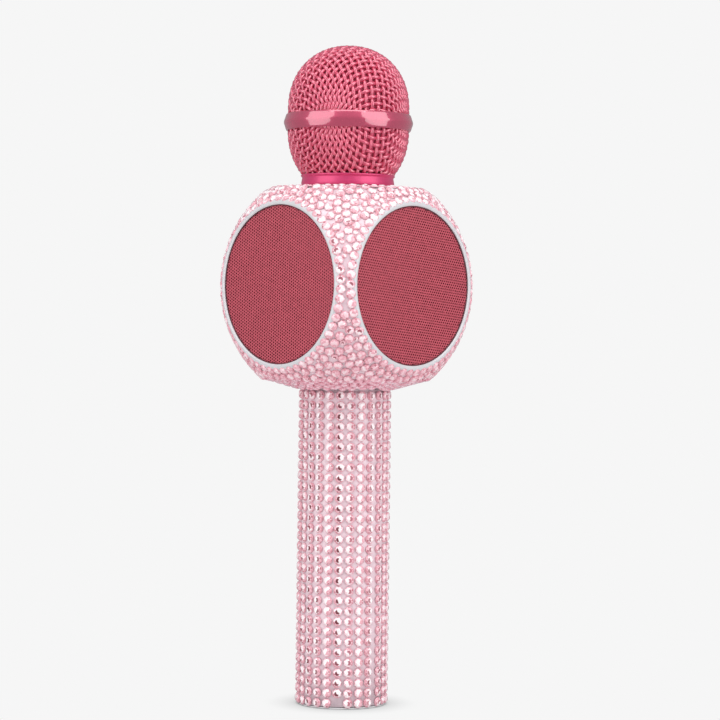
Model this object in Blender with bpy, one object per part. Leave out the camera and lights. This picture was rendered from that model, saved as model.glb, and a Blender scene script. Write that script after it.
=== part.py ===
"""Karaoke microphone with a crystal-covered speaker ball between its head and its handle.

Frame: metres, +Z up along the microphone, origin at the centre of the end cap's underside.
-Y is the front: the ridge between the two driver grilles faces it. The control panel is on +Y.
All driving dimensions below are in millimetres.
"""

import math

import bmesh
import bpy
from mathutils import Matrix, Vector

MM = 0.001
GAP = 0.3  # between two pieces that touch on the real object

# Crystal layers: glued flat-back stones, modelled as one skin for each moulding they cover
CRYSTALS = 1.2
SKIN = CRYSTALS + GAP
WALL = 2.2

# Speaker ball
BALL_Z = 164.2
BALL_R = 49.8
BALL_TOP = 39.6  # height of the flat top over the ball's centre
BALL_SHOULDER = 37.3  # height where the sphere turns into the flat top
UNDER_EDGE_R = 33.9
UNDER_EDGE_Z = 127.7
UNDER_HANDLE_R = 18.6
UNDER_HANDLE_Z = 123.4
SEAM_R = 30.5  # where the base cover meets the housing
STONE_SEAM_R = 32.4  # its stones lap this far over the joint

BALL_STEPS = 9  # along the ball's side

# Speaker faces, measured along each face's normal from the microphone's axis
FACE = 34.7  # the flat that a driver's flange rests on
BEZEL_R = 32.9
BEZEL_IN_R = 30.6
BEZEL_TOP = 37.1
GRILLE_R = 30.9
GRILLE_TOP = 36.3
GRILLE_THICK = 0.5
FLANGE_R = 30.9
FLANGE = 0.5
FRAME_R = 28.4
FRAME_IN_R = 27.6
FRAME_STEP = 30.9  # where the frame's rim narrows to its basket
BASKET_R = 14.8  # the driver's basket where it meets its back plate
BASKET_WALL = 1.0
BASKET_HOLE_R = 7.5
CONE_R = 25.4
MAGNET_R = 10.5
MAGNET_BACK = 11.5
FRAME_BACK = 17.5

# Neck and head
NECK_R = 15.0
NECK_TOP = 212.0
WASHER_R = 17.1
COLLAR_Z = 204.1
COLLAR_LOW_R = 17.5
COLLAR_HIGH_R = 18.5
COLLAR_HIGH_Z = 207.7
HEAD_R = 24.0
MESH = 1.0
BASKET_Z = 208.1
BASKET_TOP = 224.7
BASKET_DROP = 26.3  # the basket is a quarter ellipse, this tall from its widest ring
BAND_LOW = 225.0
BAND_HIGH = 231.5
BAND_R = 25.5
BAND_EDGE_R = 24.4
DOME_Z = 233.6
DOME_LOW = 231.8
DOME_RISE = 25.1
DOME_POWER = 2.15  # a little squarer than an ellipse
FOAM = 3.0

# Handle
HANDLE_TOP_R = 18.2  # over the crystals
HANDLE_LOW_R = 18.3
SLEEVE_LOW = 0.9
SLEEVE_TOP = 122.6
TUBE_TOP = 139.0
TUBE_SPIGOT_R = 16.0
TUBE_IN_R = 14.3
CAP_RIM_R = 17.3
CAP_RIM = 0.6
CAP_PLUG_R = 14.0
CAP_TOP = 9.0

# Control panel on the handle's back
PANEL_HALF = 9.0
PANEL_LOW = 34.0
PANEL_HIGH = 114.0
PANEL_SEAT = 13.8
PANEL_BACK = 14.1
PANEL_FRONT = 15.5
BUTTONS = {
    "power_button": (0.0, 72.0, 3.2),
    "previous_button": (-5.2, 58.0, 2.1),
    "play_button": (0.0, 58.0, 2.1),
    "next_button": (5.2, 58.0, 2.1),
    "mode_button": (0.0, 45.0, 2.8),
}
BUTTON_PROUD = 0.8
BUTTON_FLANGE = 0.4
WINDOW_HALF = 8.0
SLIDERS = {"mic_volume": -5.4, "echo": 0.0, "music_volume": 5.4}
SLIDER_Z = 97.0
SLIDER_SLOT = 18.0
SLIDER_SLOT_WIDE = 2.2
LED_Z = 81.0
LED_R = 1.2

# Inside the handle
BOARD_BACK = 8.5
BOARD_FRONT = 10.1
BOARD_HALF = 9.4
BOARD_LOW = 30.0
BOARD_HIGH = 116.0
CELL_R = 9.2
CELL_Y = -3.5
CELL_LOW = 18.0
CELL_LONG = 65.0
TRAY_LOW = 12.0
TRAY_HIGH = 89.0
TRAY_R = 13.9

# Holes in the end cap
PORT_AT = (0.0, 7.0)
PORT_SIZE = (8.9, 3.2)
JACK_AT = (-4.0, 0.3)
JACK_R = 3.0
JACK_HOLE_R = 1.8
SLOT_AT = (2.5, -6.5)
SLOT_SIZE = (12.0, 2.2)
SCREW_X = 11.3
SCREW_Y = -1.6
SCREW_HEAD_R = 1.9
SCREW_SHANK_R = 1.0

ROUND = 32  # steps around the large outer pieces
INNER = 20  # steps around the pieces inside
FINE = 16  # steps around the small ones

PALETTE = {
    "crystal_pink": ((0.80, 0.42, 0.50), 0.15, 0.0),
    "crystal_rose": ((0.72, 0.30, 0.42), 0.15, 0.0),
    "metal_magenta": ((0.62, 0.07, 0.20), 0.22, 1.0),
    "mesh_magenta": ((0.58, 0.09, 0.20), 0.35, 1.0),
    "grille_crimson": ((0.38, 0.06, 0.12), 0.45, 1.0),
    "bezel_white": ((0.85, 0.84, 0.85), 0.18, 0.0),
    "shell_white": ((0.82, 0.81, 0.82), 0.35, 0.0),
    "foam_pink": ((0.45, 0.08, 0.18), 0.95, 0.0),
    "frame_black": ((0.03, 0.03, 0.03), 0.5, 0.0),
    "cone_grey": ((0.10, 0.10, 0.11), 0.8, 0.0),
    "rubber_black": ((0.02, 0.02, 0.02), 0.8, 0.0),
    "steel": ((0.60, 0.60, 0.62), 0.3, 1.0),
    "board_green": ((0.03, 0.22, 0.10), 0.5, 0.0),
    "cell_blue": ((0.10, 0.25, 0.60), 0.35, 0.0),
    "brass": ((0.75, 0.55, 0.25), 0.3, 1.0),
    "lens_clear": ((0.85, 0.90, 0.95), 0.1, 0.0),
}


def clear_scene():
    for item in list(bpy.data.objects):
        bpy.data.objects.remove(item, do_unlink=True)


def material(name):
    found = bpy.data.materials.get(name)
    if found:
        return found
    colour, roughness, metallic = PALETTE[name]
    made = bpy.data.materials.new(name)
    made.use_nodes = True
    shader = made.node_tree.nodes["Principled BSDF"]
    shader.inputs["Base Color"].default_value = (*colour, 1.0)
    shader.inputs["Roughness"].default_value = roughness
    shader.inputs["Metallic"].default_value = metallic
    made.diffuse_color = (*colour, 1.0)
    return made


def finish_mesh(name, shape, look, sharp=math.radians(35)):
    """Turns a bmesh in millimetres into a smooth-shaded object in metres."""
    bmesh.ops.scale(shape, vec=(MM, MM, MM), verts=shape.verts)
    bmesh.ops.recalc_face_normals(shape, faces=shape.faces)
    mesh = bpy.data.meshes.new(name)
    shape.to_mesh(mesh)
    shape.free()
    mesh.shade_smooth()
    mesh.set_sharp_from_angle(angle=sharp)
    made = bpy.data.objects.new(name, mesh)
    bpy.context.scene.collection.objects.link(made)
    mesh.materials.append(material(look))
    return made


def turned(name, outline, look, steps=ROUND, hollow=True):
    """A turned piece about local Z. A hollow outline is a loop; a solid one starts and ends at r = 0."""
    shape = bmesh.new()
    points = [shape.verts.new((r, 0.0, z)) for r, z in outline]
    edges = [shape.edges.new(pair) for pair in zip(points, points[1:])]
    if hollow:
        edges.append(shape.edges.new((points[-1], points[0])))
    bmesh.ops.spin(
        shape,
        geom=points + edges,
        axis=(0, 0, 1),
        cent=(0, 0, 0),
        angle=math.tau,
        steps=steps,
        use_merge=True,
    )
    bmesh.ops.remove_doubles(shape, verts=shape.verts, dist=1e-4)
    return finish_mesh(name, shape, look)


def block(name, low, high, look):
    """A box between two corners, in millimetres, with its origin at its middle."""
    low, high = Vector(low), Vector(high)
    shape = bmesh.new()
    bmesh.ops.create_cube(shape, size=1.0)
    bmesh.ops.scale(shape, vec=high - low, verts=shape.verts)
    made = finish_mesh(name, shape, look)
    made.location = (low + high) / 2 * MM
    return made


def plate(name, low, high, corner, look):
    """A plate in the XZ plane with rounded corners, from low to high."""
    low, high = Vector(low), Vector(high)
    shape = bmesh.new()
    points = []
    for turn, (x, z) in enumerate(((1, 1), (-1, 1), (-1, -1), (1, -1))):
        centre = Vector(
            (
                (high.x - corner) if x > 0 else (low.x + corner),
                low.y,
                (high.z - corner) if z > 0 else (low.z + corner),
            )
        )
        for step in range(5):
            angle = (turn + step / 4) * math.pi / 2
            offset = Vector((math.cos(angle), 0.0, math.sin(angle))) * corner
            points.append(shape.verts.new(centre + offset))
    face = shape.faces.new(points)
    grown = bmesh.ops.extrude_face_region(shape, geom=[face])
    moved = [item for item in grown["geom"] if isinstance(item, bmesh.types.BMVert)]
    bmesh.ops.translate(shape, verts=moved, vec=(0, high.y - low.y, 0))
    return finish_mesh(name, shape, look)


def lead(name, route, radius, look):
    """An insulated wire along a smooth route, in millimetres."""
    curve = bpy.data.curves.new(name, "CURVE")
    curve.dimensions = "3D"
    curve.bevel_depth = radius * MM
    curve.bevel_resolution = 1
    curve.use_fill_caps = True
    curve.render_resolution_u = 0
    line = curve.splines.new("POLY")
    line.points.add(len(route) - 1)
    for point, place in zip(line.points, route):
        point.co = (*(Vector(place) * MM), 1.0)
    curve.materials.append(material(look))
    made = bpy.data.objects.new(name, curve)
    bpy.context.scene.collection.objects.link(made)
    return made


def eased(start, end, count):
    """Points from start to end: the height falls evenly and the sideways part eases in and out."""
    start, end = Vector(start), Vector(end)
    points = []
    for step in range(count + 1):
        t = step / count
        smooth = t * t * (3 - 2 * t)
        point = start.lerp(end, smooth)
        point.z = start.z + (end.z - start.z) * t
        points.append(point)
    return points


def as_cutter(item):
    item.hide_render = True
    item.display_type = "WIRE"
    return item


def combine(item, other, operation="DIFFERENCE"):
    change = item.modifiers.new(other.name, "BOOLEAN")
    change.operation = operation
    change.object = other
    change.solver = "EXACT"
    return item


def cut(item, *cutters):
    for cutter in cutters:
        combine(item, as_cutter(cutter))
    return item


def drill(name, centre, radius, low, high, steps=FINE):
    """A cutter: a cylinder along Z."""
    outline = [(0.0, high), (radius, high), (radius, low), (0.0, low)]
    made = turned(name, outline, "steel", steps, hollow=False)
    made.location = (centre[0] * MM, centre[1] * MM, 0.0)
    return as_cutter(made)


def drill_back(name, x, z, radius, steps=FINE):
    """A cutter: a cylinder along Y through the control panel."""
    outline = [(0.0, 20.0), (radius, 20.0), (radius, 12.0), (0.0, 12.0)]
    made = turned(name, outline, "steel", steps, hollow=False)
    made.rotation_euler = (-math.pi / 2, 0.0, 0.0)
    made.location = (x * MM, 0.0, z * MM)
    return as_cutter(made)


def empty(name, location, rotation=(0.0, 0.0, 0.0)):
    made = bpy.data.objects.new(name, None)
    made.location = Vector(location) * MM
    made.rotation_euler = rotation
    bpy.context.scene.collection.objects.link(made)
    return made


def on_axis(parent, *pieces):
    for piece in pieces:
        piece.parent = parent
    return pieces


def arc(centre_z, radius, start_z, end_z, count):
    """Points of a circle about (0, centre_z), from one height to another."""
    start = math.asin((start_z - centre_z) / radius)
    end = math.asin((end_z - centre_z) / radius)
    points = []
    for step in range(count + 1):
        angle = start + (end - start) * step / count
        points.append((radius * math.cos(angle), centre_z + radius * math.sin(angle)))
    return points


# ---------------------------------------------------------------- speaker ball


def underside_z(r, inset):
    """Height of the ball's shallow conical underside, moved inwards by inset."""
    slope = (UNDER_EDGE_Z - UNDER_HANDLE_Z) / (UNDER_EDGE_R - UNDER_HANDLE_R)
    return UNDER_HANDLE_Z + (r - UNDER_HANDLE_R) * slope + inset * math.hypot(1.0, slope)


def ball_outline(inset, hole_r, seam_r, steps):
    """The ball's profile moved inwards by inset, from the hole in its top to its seam."""
    radius = BALL_R - inset
    top = BALL_Z + BALL_TOP - inset
    shoulder = BALL_Z + BALL_SHOULDER - inset
    edge_z = UNDER_EDGE_Z + inset * 0.7
    side = arc(BALL_Z, radius, shoulder, edge_z, steps)
    corner_r = side[0][0] - (top - shoulder) * 1.8
    edge_r = min(side[-1][0], UNDER_EDGE_R - inset * 0.4)
    outline = [(hole_r, top), (corner_r, top)]
    outline += side[:-1]
    outline.append((edge_r, underside_z(edge_r, inset)))
    outline.append((seam_r, underside_z(seam_r, inset)))
    return outline


def face_direction(turn):
    """Angle about Z of a face's normal: turn 0 and 1 are the front pair, 2 and 3 the rear pair."""
    return math.radians((225, 315, 45, 135)[turn])


def face_frame(name, turn):
    """An empty on the microphone's axis whose +Z is the face's normal."""
    return empty(name, (0.0, 0.0, BALL_Z), (0.0, math.pi / 2, face_direction(turn)))


def face_cutter(name, turn, start, radius):
    """A cutter: everything beyond start along the face's normal, out to radius."""
    outline = [(0.0, 60.0), (radius, 60.0), (radius, start), (0.0, start)]
    made = turned(name, outline, "steel", ROUND, hollow=False)
    on_axis(face_frame(name + "_frame", turn), made)
    return as_cutter(made)


def ball_ring(name, inset, thickness, hole_r, seam_r, look):
    """A turned wall of the ball, open at its top hole and at its seam."""
    outer = ball_outline(inset, hole_r, seam_r + GAP, BALL_STEPS)
    inner = ball_outline(inset + thickness, hole_r, seam_r + GAP, BALL_STEPS)
    return turned(name, outer + inner[::-1], look)


def build_ball():
    shell = ball_ring("housing_shell", SKIN, WALL, NECK_R + GAP, SEAM_R, "shell_white")
    hole = WASHER_R + GAP
    crystals = ball_ring("ball_crystals", 0.0, CRYSTALS, hole, STONE_SEAM_R, "crystal_pink")
    for turn in range(4):
        combine(shell, face_cutter(f"face_flat_{turn}", turn, FACE, FACE - 0.1))
        combine(crystals, face_cutter(f"face_ring_{turn}", turn, 22.0, BEZEL_R + GAP))


def build_base_cover():
    bore = TUBE_SPIGOT_R + GAP
    stop = 13.5
    stop_z = TUBE_TOP + GAP
    outline = [
        (SEAM_R, underside_z(SEAM_R, SKIN)),
        (bore, underside_z(bore, SKIN)),
        (bore, stop_z),
        (stop, stop_z),
        (stop, stop_z + 2.0),
        (bore + WALL, stop_z + 2.0),
        (bore + WALL, underside_z(bore + WALL, SKIN + WALL)),
        (SEAM_R, underside_z(SEAM_R, SKIN + WALL)),
    ]
    turned("base_cover", outline, "shell_white")
    inner_r = HANDLE_TOP_R - 0.4
    crystals = [
        (STONE_SEAM_R, underside_z(STONE_SEAM_R, 0.0)),
        (inner_r, underside_z(inner_r, 0.0)),
        (inner_r, underside_z(inner_r, CRYSTALS)),
        (STONE_SEAM_R, underside_z(STONE_SEAM_R, CRYSTALS)),
    ]
    turned("base_crystals", crystals, "crystal_rose")


def build_face(turn, side, kind):
    """Bezel and grille of one face, with its driver or its passive radiator behind them."""
    frame = face_frame(f"{kind}_{side}_axis", turn)
    seat = FACE + GAP
    bezel = [
        (BEZEL_R, seat),
        (BEZEL_R, BEZEL_TOP - 0.8),
        (BEZEL_R - 0.8, BEZEL_TOP),
        (BEZEL_IN_R + 0.3, BEZEL_TOP - 0.1),
        (BEZEL_IN_R, GRILLE_TOP + GAP),
        (GRILLE_R + GAP, GRILLE_TOP + GAP),
        (GRILLE_R + GAP, seat),
    ]
    low = GRILLE_TOP - GRILLE_THICK
    grille = [(0.0, GRILLE_TOP), (GRILLE_R, GRILLE_TOP), (GRILLE_R, low), (0.0, low)]
    pieces = [
        turned(f"bezel_{kind}_{side}", bezel, "bezel_white"),
        turned(f"grille_{kind}_{side}", grille, "grille_crimson", ROUND, hollow=False),
    ]
    pieces += build_driver(side) if kind == "driver" else build_passive(side)
    on_axis(frame, *pieces)


def flange_outline():
    """The flange and rim that a driver and a passive radiator share, from inside out."""
    seat = FACE + GAP
    return [
        (FRAME_IN_R - 0.4, seat + FLANGE),
        (FLANGE_R, seat + FLANGE),
        (FLANGE_R, seat),
        (FRAME_R, seat),
        (FRAME_R, FRAME_STEP),
        (FRAME_IN_R, FRAME_STEP),
    ]


def build_driver(side):
    ledge_r = CONE_R + BASKET_WALL
    basket = flange_outline() + [
        (FRAME_IN_R, FRAME_STEP - 2.5),
        (BASKET_R, FRAME_BACK + 0.8),
        (BASKET_R, FRAME_BACK),
        (BASKET_HOLE_R, FRAME_BACK),
        (BASKET_HOLE_R, FRAME_BACK + 1.3),
        (BASKET_R - BASKET_WALL, FRAME_BACK + 1.4),
        (ledge_r, FRAME_STEP - 2.3),
        (ledge_r, FRAME_STEP),
    ]
    front = FRAME_STEP - 0.7
    former = FRAME_BACK + 1.2
    dust_cap = front - 6.3
    coil_r = 5.4
    coil_wall = 0.6
    cone = [
        (0.0, dust_cap),
        (coil_r, front - 7.2),
        (CONE_R - 2.9, front),
        (CONE_R, front),
        (CONE_R, front - 0.7),
        (CONE_R - 2.6, front - 0.8),
        (coil_r, front - 8.4),
        (coil_r, former),
        (coil_r - coil_wall, former),
        (coil_r - coil_wall, front - 8.2),
        (0.0, dust_cap - 0.9),
    ]
    face = FRAME_BACK - GAP
    magnet = [
        (0.0, face),
        (MAGNET_R, face),
        (MAGNET_R, MAGNET_BACK),
        (0.0, MAGNET_BACK),
    ]
    return [
        turned(f"driver_frame_{side}", basket, "frame_black", INNER),
        turned(f"driver_cone_{side}", cone, "cone_grey", INNER, hollow=False),
        turned(f"driver_magnet_{side}", magnet, "steel", FINE, hollow=False),
    ]


def build_passive(side):
    ledge_r = CONE_R + 0.5
    ring = flange_outline() + [
        (FRAME_IN_R, FRAME_STEP - 1.9),
        (ledge_r, FRAME_STEP - 1.9),
        (ledge_r, FRAME_STEP + 1.0),
    ]
    front = FRAME_STEP - 0.7
    weight_r = CONE_R / 2
    diaphragm = [
        (0.0, front + 1.0),
        (weight_r - 0.5, front + 1.0),
        (weight_r, front),
        (CONE_R, front),
        (CONE_R, front - 1.0),
        (0.0, front - 1.0),
    ]
    return [
        turned(f"passive_frame_{side}", ring, "frame_black", INNER),
        turned(f"passive_diaphragm_{side}", diaphragm, "rubber_black", INNER, hollow=False),
    ]


# ---------------------------------------------------------------- neck and head


def build_neck():
    top_inside = BALL_Z + BALL_TOP - SKIN - WALL - GAP
    socket = [
        (NECK_R, NECK_TOP),
        (NECK_R, top_inside),
        (20.0, top_inside),
        (20.0, top_inside - 2.2),
        (11.5, top_inside - 2.2),
        (11.5, NECK_TOP),
    ]
    turned("neck_socket", socket, "shell_white", INNER)
    seat = BALL_Z + BALL_TOP - SKIN + GAP
    washer = [
        (WASHER_R, COLLAR_Z - GAP),
        (WASHER_R, seat),
        (NECK_R + GAP, seat),
        (NECK_R + GAP, COLLAR_Z - GAP),
    ]
    turned("neck_washer", washer, "rubber_black", INNER)
    floor = NECK_TOP + GAP
    cradle = [
        (14.0, floor),
        (6.0, floor),
        (6.0, floor + 1.9),
        (11.2, floor + 1.9),
        (11.2, floor + 10.7),
        (12.6, floor + 10.7),
        (12.6, floor + 1.9),
        (14.0, floor + 1.9),
    ]
    turned("capsule_cradle", cradle, "frame_black", FINE)
    ring_low = floor + 1.9 + GAP
    ring = [
        (10.9, ring_low + 7.6),
        (10.9, ring_low),
        (9.3, ring_low),
        (9.3, ring_low + 7.6),
    ]
    turned("capsule_ring", ring, "rubber_black", FINE)
    capsule = [
        (0.0, ring_low + 9.8),
        (8.4, ring_low + 9.8),
        (9.0, ring_low + 9.2),
        (9.0, ring_low + 0.4),
        (0.0, ring_low + 0.4),
    ]
    turned("mic_capsule", capsule, "steel", FINE, hollow=False)


def basket_r(z, inset):
    """Radius of the wire basket under the band."""
    return HEAD_R * math.sqrt(1 - ((BASKET_TOP - z) / BASKET_DROP) ** 2) - inset


def dome_outline(inset, count):
    """The dome's profile from its top down to its widest ring."""
    points = []
    for step in range(count + 1):
        angle = math.pi / 2 * (1 - step / count)
        r = max(math.cos(angle), 0.0) ** (2 / DOME_POWER) * (HEAD_R - inset)
        z = math.sin(angle) ** (2 / DOME_POWER) * (DOME_RISE - inset) + DOME_Z
        points.append((r, z))
    points[0] = (0.0, points[0][1])
    return points


def basket_outline(inset, low, count):
    """The basket's profile from its top down to low."""
    heights = [BASKET_TOP + (low - BASKET_TOP) * step / count for step in range(count + 1)]
    return [(basket_r(z, inset), z) for z in heights]


def build_head():
    dome = dome_outline(0.0, 9) + [(HEAD_R, DOME_LOW), (HEAD_R - MESH, DOME_LOW)]
    dome += dome_outline(MESH, 7)[::-1]
    turned("head_dome_mesh", dome, "mesh_magenta", hollow=False)
    basket = basket_outline(0.0, BASKET_Z, 4) + basket_outline(MESH, BASKET_Z, 4)[::-1]
    turned("head_basket_mesh", basket, "mesh_magenta")
    middle = (BAND_LOW + BAND_HIGH) / 2
    band = [
        (BAND_EDGE_R, BAND_HIGH),
        (BAND_R - 0.25, middle + 1.2),
        (BAND_R, middle),
        (BAND_R - 0.25, middle - 1.2),
        (BAND_EDGE_R, BAND_LOW),
        (HEAD_R - MESH, BAND_LOW),
        (HEAD_R - MESH, BAND_HIGH),
    ]
    turned("head_band", band, "metal_magenta")
    thread_r = NECK_R + GAP
    collar = [
        (thread_r, COLLAR_Z),
        (COLLAR_LOW_R, COLLAR_Z),
        (COLLAR_HIGH_R, COLLAR_HIGH_Z),
        (17.2, COLLAR_HIGH_Z + 0.3),
        (17.2, COLLAR_HIGH_Z + 3.3),
        (thread_r, COLLAR_HIGH_Z + 3.3),
    ]
    turned("head_collar", collar, "metal_magenta")
    inset = MESH + 0.4
    low = COLLAR_HIGH_Z + 3.8
    outer = dome_outline(inset, 6) + basket_outline(inset, low, 3)
    inner = dome_outline(inset + FOAM, 5) + basket_outline(inset + FOAM, low, 3)
    turned("pop_foam", outer + inner[::-1], "foam_pink", INNER, hollow=False)


# ---------------------------------------------------------------- handle


def handle_r(z, inset):
    """Radius of the slightly tapered handle."""
    share = (z - SLEEVE_LOW) / (SLEEVE_TOP - SLEEVE_LOW)
    return HANDLE_LOW_R + (HANDLE_TOP_R - HANDLE_LOW_R) * share - inset


def build_handle():
    tube = [
        (handle_r(SLEEVE_LOW, SKIN), SLEEVE_LOW),
        (TUBE_IN_R, SLEEVE_LOW),
        (TUBE_IN_R, TUBE_TOP),
        (TUBE_SPIGOT_R, TUBE_TOP),
        (TUBE_SPIGOT_R, SLEEVE_TOP + 1.0),
        (handle_r(SLEEVE_TOP, SKIN), SLEEVE_TOP),
    ]
    tube = turned("handle_tube", tube, "shell_white")
    low, high = PANEL_LOW - GAP, PANEL_HIGH + GAP
    seat = block("panel_seat", (-12, PANEL_SEAT, low), (12, 24, high), "steel")
    low, high = PANEL_LOW + 3, PANEL_HIGH - 3
    window = block("panel_window", (-WINDOW_HALF, 4, low), (WINDOW_HALF, 24, high), "steel")
    cut(tube, seat, window)
    sleeve = [
        (handle_r(SLEEVE_TOP, 0.0), SLEEVE_TOP),
        (handle_r(SLEEVE_LOW, 0.0), SLEEVE_LOW),
        (handle_r(SLEEVE_LOW, CRYSTALS), SLEEVE_LOW),
        (handle_r(SLEEVE_TOP, CRYSTALS), SLEEVE_TOP),
    ]
    sleeve = turned("handle_crystals", sleeve, "crystal_pink")
    side = PANEL_HALF + GAP
    opening = block("sleeve_opening", (-side, 4, PANEL_LOW - GAP), (side, 24, PANEL_HIGH + GAP), "steel")
    cut(sleeve, opening)


def build_panel():
    panel = plate(
        "control_panel",
        (-PANEL_HALF, PANEL_BACK, PANEL_LOW),
        (PANEL_HALF, PANEL_FRONT, PANEL_HIGH),
        2.5,
        "bezel_white",
    )
    for name, (x, z, radius) in BUTTONS.items():
        cut(panel, drill_back(f"{name}_hole", x, z, radius + 0.25))
        build_button(name, x, z, radius)
    for name, x in SLIDERS.items():
        half = SLIDER_SLOT_WIDE / 2
        low = SLIDER_Z - SLIDER_SLOT / 2
        high = SLIDER_Z + SLIDER_SLOT / 2
        cut(panel, block(f"{name}_slot", (x - half, 12, low), (x + half, 20, high), "steel"))
        build_slider(name, x)
    cut(panel, drill_back("led_hole", 0.0, LED_Z, LED_R + 0.25, 16))
    lens = [
        (0.0, PANEL_FRONT + 0.2),
        (LED_R, PANEL_FRONT),
        (LED_R, PANEL_BACK - 1.0),
        (0.0, PANEL_BACK - 1.0),
    ]
    lens = turned("led_lens", lens, "lens_clear", 16, hollow=False)
    on_axis(empty("led_axis", (0.0, 0.0, LED_Z), (-math.pi / 2, 0.0, 0.0)), lens)


def build_button(name, x, z, radius):
    """A capped plunger with a flange behind the panel, over its own tact switch."""
    front = PANEL_FRONT + BUTTON_PROUD
    flange = PANEL_BACK - 0.35
    outline = [
        (0.0, front),
        (radius - 0.3, front),
        (radius, front - 0.3),
        (radius, flange),
        (radius + BUTTON_FLANGE, flange),
        (radius + BUTTON_FLANGE, flange - 0.8),
        (0.0, flange - 0.8),
    ]
    cap = turned(name, outline, "shell_white", FINE, hollow=False)
    on_axis(empty(f"{name}_axis", (x, 0.0, z), (-math.pi / 2, 0.0, 0.0)), cap)


def build_slider(name, x):
    """A cap on a lever that reaches through the panel into its potentiometer."""
    cap_back = PANEL_FRONT + GAP
    cap_front = cap_back + 1.6
    low = (x - 1.9, cap_back, SLIDER_Z - 2.4)
    high = (x + 1.9, cap_front, SLIDER_Z + 2.4)
    cap = block(f"{name}_slider", low, high, "shell_white")
    low = (x - 0.75, BOARD_FRONT + 1.9, SLIDER_Z - 1.2)
    high = (x + 0.75, cap_back + 0.8, SLIDER_Z + 1.2)
    combine(cap, as_cutter(block(f"{name}_lever", low, high, "steel")), "UNION")


def build_pot_bank():
    """The three slide potentiometers, with a slot for each lever."""
    half = SLIDER_SLOT / 2
    ends = sorted(SLIDERS.values())
    bank = block(
        "slider_pot_bank",
        (ends[0] - 2.4, BOARD_FRONT + GAP, SLIDER_Z - half - 2.0),
        (ends[-1] + 2.4, BOARD_FRONT + 3.1, SLIDER_Z + half + 2.0),
        "steel",
    )
    for name, x in SLIDERS.items():
        low = (x - 1.05, BOARD_FRONT + 1.6, SLIDER_Z - half)
        high = (x + 1.05, BOARD_FRONT + 5.0, SLIDER_Z + half)
        cut(bank, block(f"{name}_pot_slot", low, high, "steel"))


def build_handle_inside():
    block(
        "control_board",
        (-BOARD_HALF, BOARD_BACK, BOARD_LOW),
        (BOARD_HALF, BOARD_FRONT, BOARD_HIGH),
        "board_green",
    )
    block("switch_strip", (-7.6, BOARD_FRONT + GAP, 42.0), (7.6, 12.2, 75.5), "rubber_black")
    cell = [
        (0.0, CELL_LOW + CELL_LONG),
        (3.0, CELL_LOW + CELL_LONG),
        (3.0, CELL_LOW + CELL_LONG - 1.2),
        (CELL_R, CELL_LOW + CELL_LONG - 1.2),
        (CELL_R, CELL_LOW),
        (0.0, CELL_LOW),
    ]
    cell = turned("battery_cell", cell, "cell_blue", FINE, hollow=False)
    cell.location = (0.0, CELL_Y * MM, 0.0)
    tray = turned(
        "battery_tray",
        [(0.0, TRAY_HIGH), (TRAY_R, TRAY_HIGH), (TRAY_R, TRAY_LOW), (0.0, TRAY_LOW)],
        "frame_black",
        INNER,
        hollow=False,
    )
    open_side = block("tray_open_side", (-20, 0.0, 0), (20, 20, 120), "steel")
    low, high = CELL_LOW - 1.2, CELL_LOW + CELL_LONG + 1.2
    pocket = drill("tray_pocket", (0.0, CELL_Y), CELL_R + GAP, low, high, INNER)
    cut(tray, open_side, pocket)
    for side in (-1, 1):
        at = (side * SCREW_X, SCREW_Y)
        cut(tray, drill(f"tray_hole_{side}", at, SCREW_SHANK_R + GAP, 5.0, TRAY_LOW + 4.0, 12))
    contacts = {
        "contact_negative": CELL_LOW - 0.8,
        "contact_positive": CELL_LOW + CELL_LONG + 0.4,
    }
    for name, z in contacts.items():
        block(name, (-3.5, CELL_Y - 3.5, z), (3.5, CELL_Y + 3.2, z + 0.4), "brass")


def build_end_cap():
    outline = [
        (0.0, CAP_TOP),
        (CAP_PLUG_R, CAP_TOP),
        (CAP_PLUG_R, CAP_RIM),
        (CAP_RIM_R, CAP_RIM),
        (CAP_RIM_R, 0.3),
        (CAP_RIM_R - 0.3, 0.0),
        (0.0, 0.0),
    ]
    cap = turned("end_cap", outline, "bezel_white", hollow=False)
    cutters = []
    for name, (x, y), (wide, deep) in (("port", PORT_AT, PORT_SIZE), ("card", SLOT_AT, SLOT_SIZE)):
        low = (x - wide / 2 - GAP, y - deep / 2 - GAP, -2.0)
        high = (x + wide / 2 + GAP, y + deep / 2 + GAP, 12.0)
        cutters.append(block(f"{name}_hole", low, high, "steel"))
    cutters.append(drill("jack_hole", JACK_AT, JACK_R + GAP, -2.0, 12.0))
    for side in (-1, 1):
        at = (side * SCREW_X, SCREW_Y)
        cutters.append(screw_drill(f"screw_hole_{side}", at))
        build_screw(f"end_cap_screw_{'left' if side < 0 else 'right'}", at)
    cut(cap, *cutters)
    build_shell_port("charging_port", PORT_AT, PORT_SIZE, 0.5)
    build_shell_port("card_slot", SLOT_AT, SLOT_SIZE, 0.4)
    jack = [
        (JACK_HOLE_R, 0.3),
        (JACK_HOLE_R, 8.0),
        (JACK_R, 8.0),
        (JACK_R, 0.3),
    ]
    jack = turned("aux_jack", jack, "brass", FINE)
    jack.location = (JACK_AT[0] * MM, JACK_AT[1] * MM, 0.0)


def screw_drill(name, at):
    """A cutter: a clearance hole with a recess for the screw's head."""
    hole_r = SCREW_SHANK_R + GAP
    recess_r = SCREW_HEAD_R + GAP
    outline = [(0.0, 12.0), (hole_r, 12.0), (hole_r, 2.6)]
    outline += [(recess_r, 2.6), (recess_r, -2.0), (0.0, -2.0)]
    made = turned(name, outline, "steel", 12, hollow=False)
    made.location = (at[0] * MM, at[1] * MM, 0.0)
    return as_cutter(made)


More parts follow.
